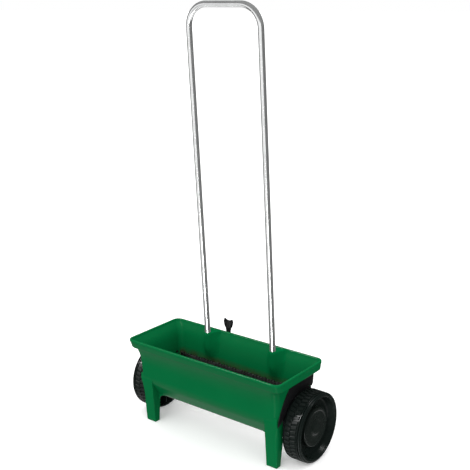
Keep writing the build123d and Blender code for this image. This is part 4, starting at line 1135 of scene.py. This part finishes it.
KEY_DIRECTION = (0.04, -0.82, 0.56)
KEY_STRENGTH = 1.1
KEY_ANGLE = 50
HIGHLIGHT_TARGET = (0.1, 0, 0.2)
HIGHLIGHTS = (
    # name, place, size, power
    ("left_strip", (-1.5, -1.95, 2.3), (0.4, 1.2), 480.0),
    ("top_softbox", (0.3, 0.5, 2.8), (1.2, 0.5), 70.0),
)


def build_lights():
    """A wide soft sun from the front, and two lights that only make highlights."""
    data = bpy.data.lights.new("key_sun", "SUN")
    data.energy = KEY_STRENGTH
    data.angle = math.radians(KEY_ANGLE)
    sun = bpy.data.objects.new("key_sun", data)
    sun.rotation_euler = Vector(KEY_DIRECTION).to_track_quat("Z", "Y").to_euler()
    sun.visible_glossy = False
    bpy.context.scene.collection.objects.link(sun)
    # the handle isn't lit by the highlights, so that the upper side of its top stays dark
    plastics = bpy.data.collections.new("plastic_pieces")
    for piece in bpy.context.scene.objects:
        if piece.type == "MESH" and piece.name != "handle_bar":
            plastics.objects.link(piece)
    for name, place, size, power in HIGHLIGHTS:
        light = add_area_light(name, place, HIGHLIGHT_TARGET, size, power)
        light.visible_diffuse = False
        light.light_linking.receiver_collection = plastics


def build_camera():
    """The camera, in front of the object and to its right, looking a little down."""
    data = bpy.data.cameras.new("camera")
    data.sensor_width = 36.0
    data.lens = 65.33
    data.shift_x = 0.0103
    data.shift_y = -0.0170
    data.clip_end = 400.0
    camera = bpy.data.objects.new("camera", data)
    camera.location = (1.32415, -1.70361, 1.15406)
    camera.rotation_euler = (math.radians(90 - 14.63), math.radians(-0.07), math.radians(37.53))
    bpy.context.scene.collection.objects.link(camera)
    bpy.context.scene.camera = camera


def build():
    """Puts the pieces in place of the CAD nodes that they stand for."""
    finish_cad_nodes()
    shell = dress(hopper_shell(), "hopper", "hopper_plastic", "hopper")
    # the bright foot of the handle doesn't mirror the dark inside of the hopper
    shell.visible_glossy = False
    for side in (-1, 1):
        name = SIDE_NAMES[side]
        dress(leg(side), "hopper", "hopper_plastic")
        dress(gusset(side), "hopper", "hopper_plastic")
        swelling = dress(socket(side), "hopper", "hopper_plastic")
        swelling.data.materials[0] = MATT_GREEN
        swelling.visible_glossy = False
        dress(end_shield(side), "hopper", "plate_black")
        body = "idle_wheel" if side == -1 else "drive_axle"
        dress(wheel(side), body, "wheel_plastic", "wheel_" + name)
        dress(tread(side), body, "wheel_plastic").data.materials[0] = TREAD_BLACK
        dress(wheel_ribs(side), body, "wheel_plastic")
        dress(hub_cap(side), body, "hub_cap_plastic", "hub_cap_" + name)
    dress(trough_lining(), "hopper", "trough_plastic", "trough_rear_sheet")
    dress(handle(), "hopper", "handle_chrome", "handle_tube")
    dress(lever(), "lever", "lever_plastic", "control_lever")
    dress(lever_grip(), "lever", "lever_plastic")


build()
build_stage()
build_world()
build_lights()
build_camera()
bpy.context.scene.view_settings.view_transform = "Standard"
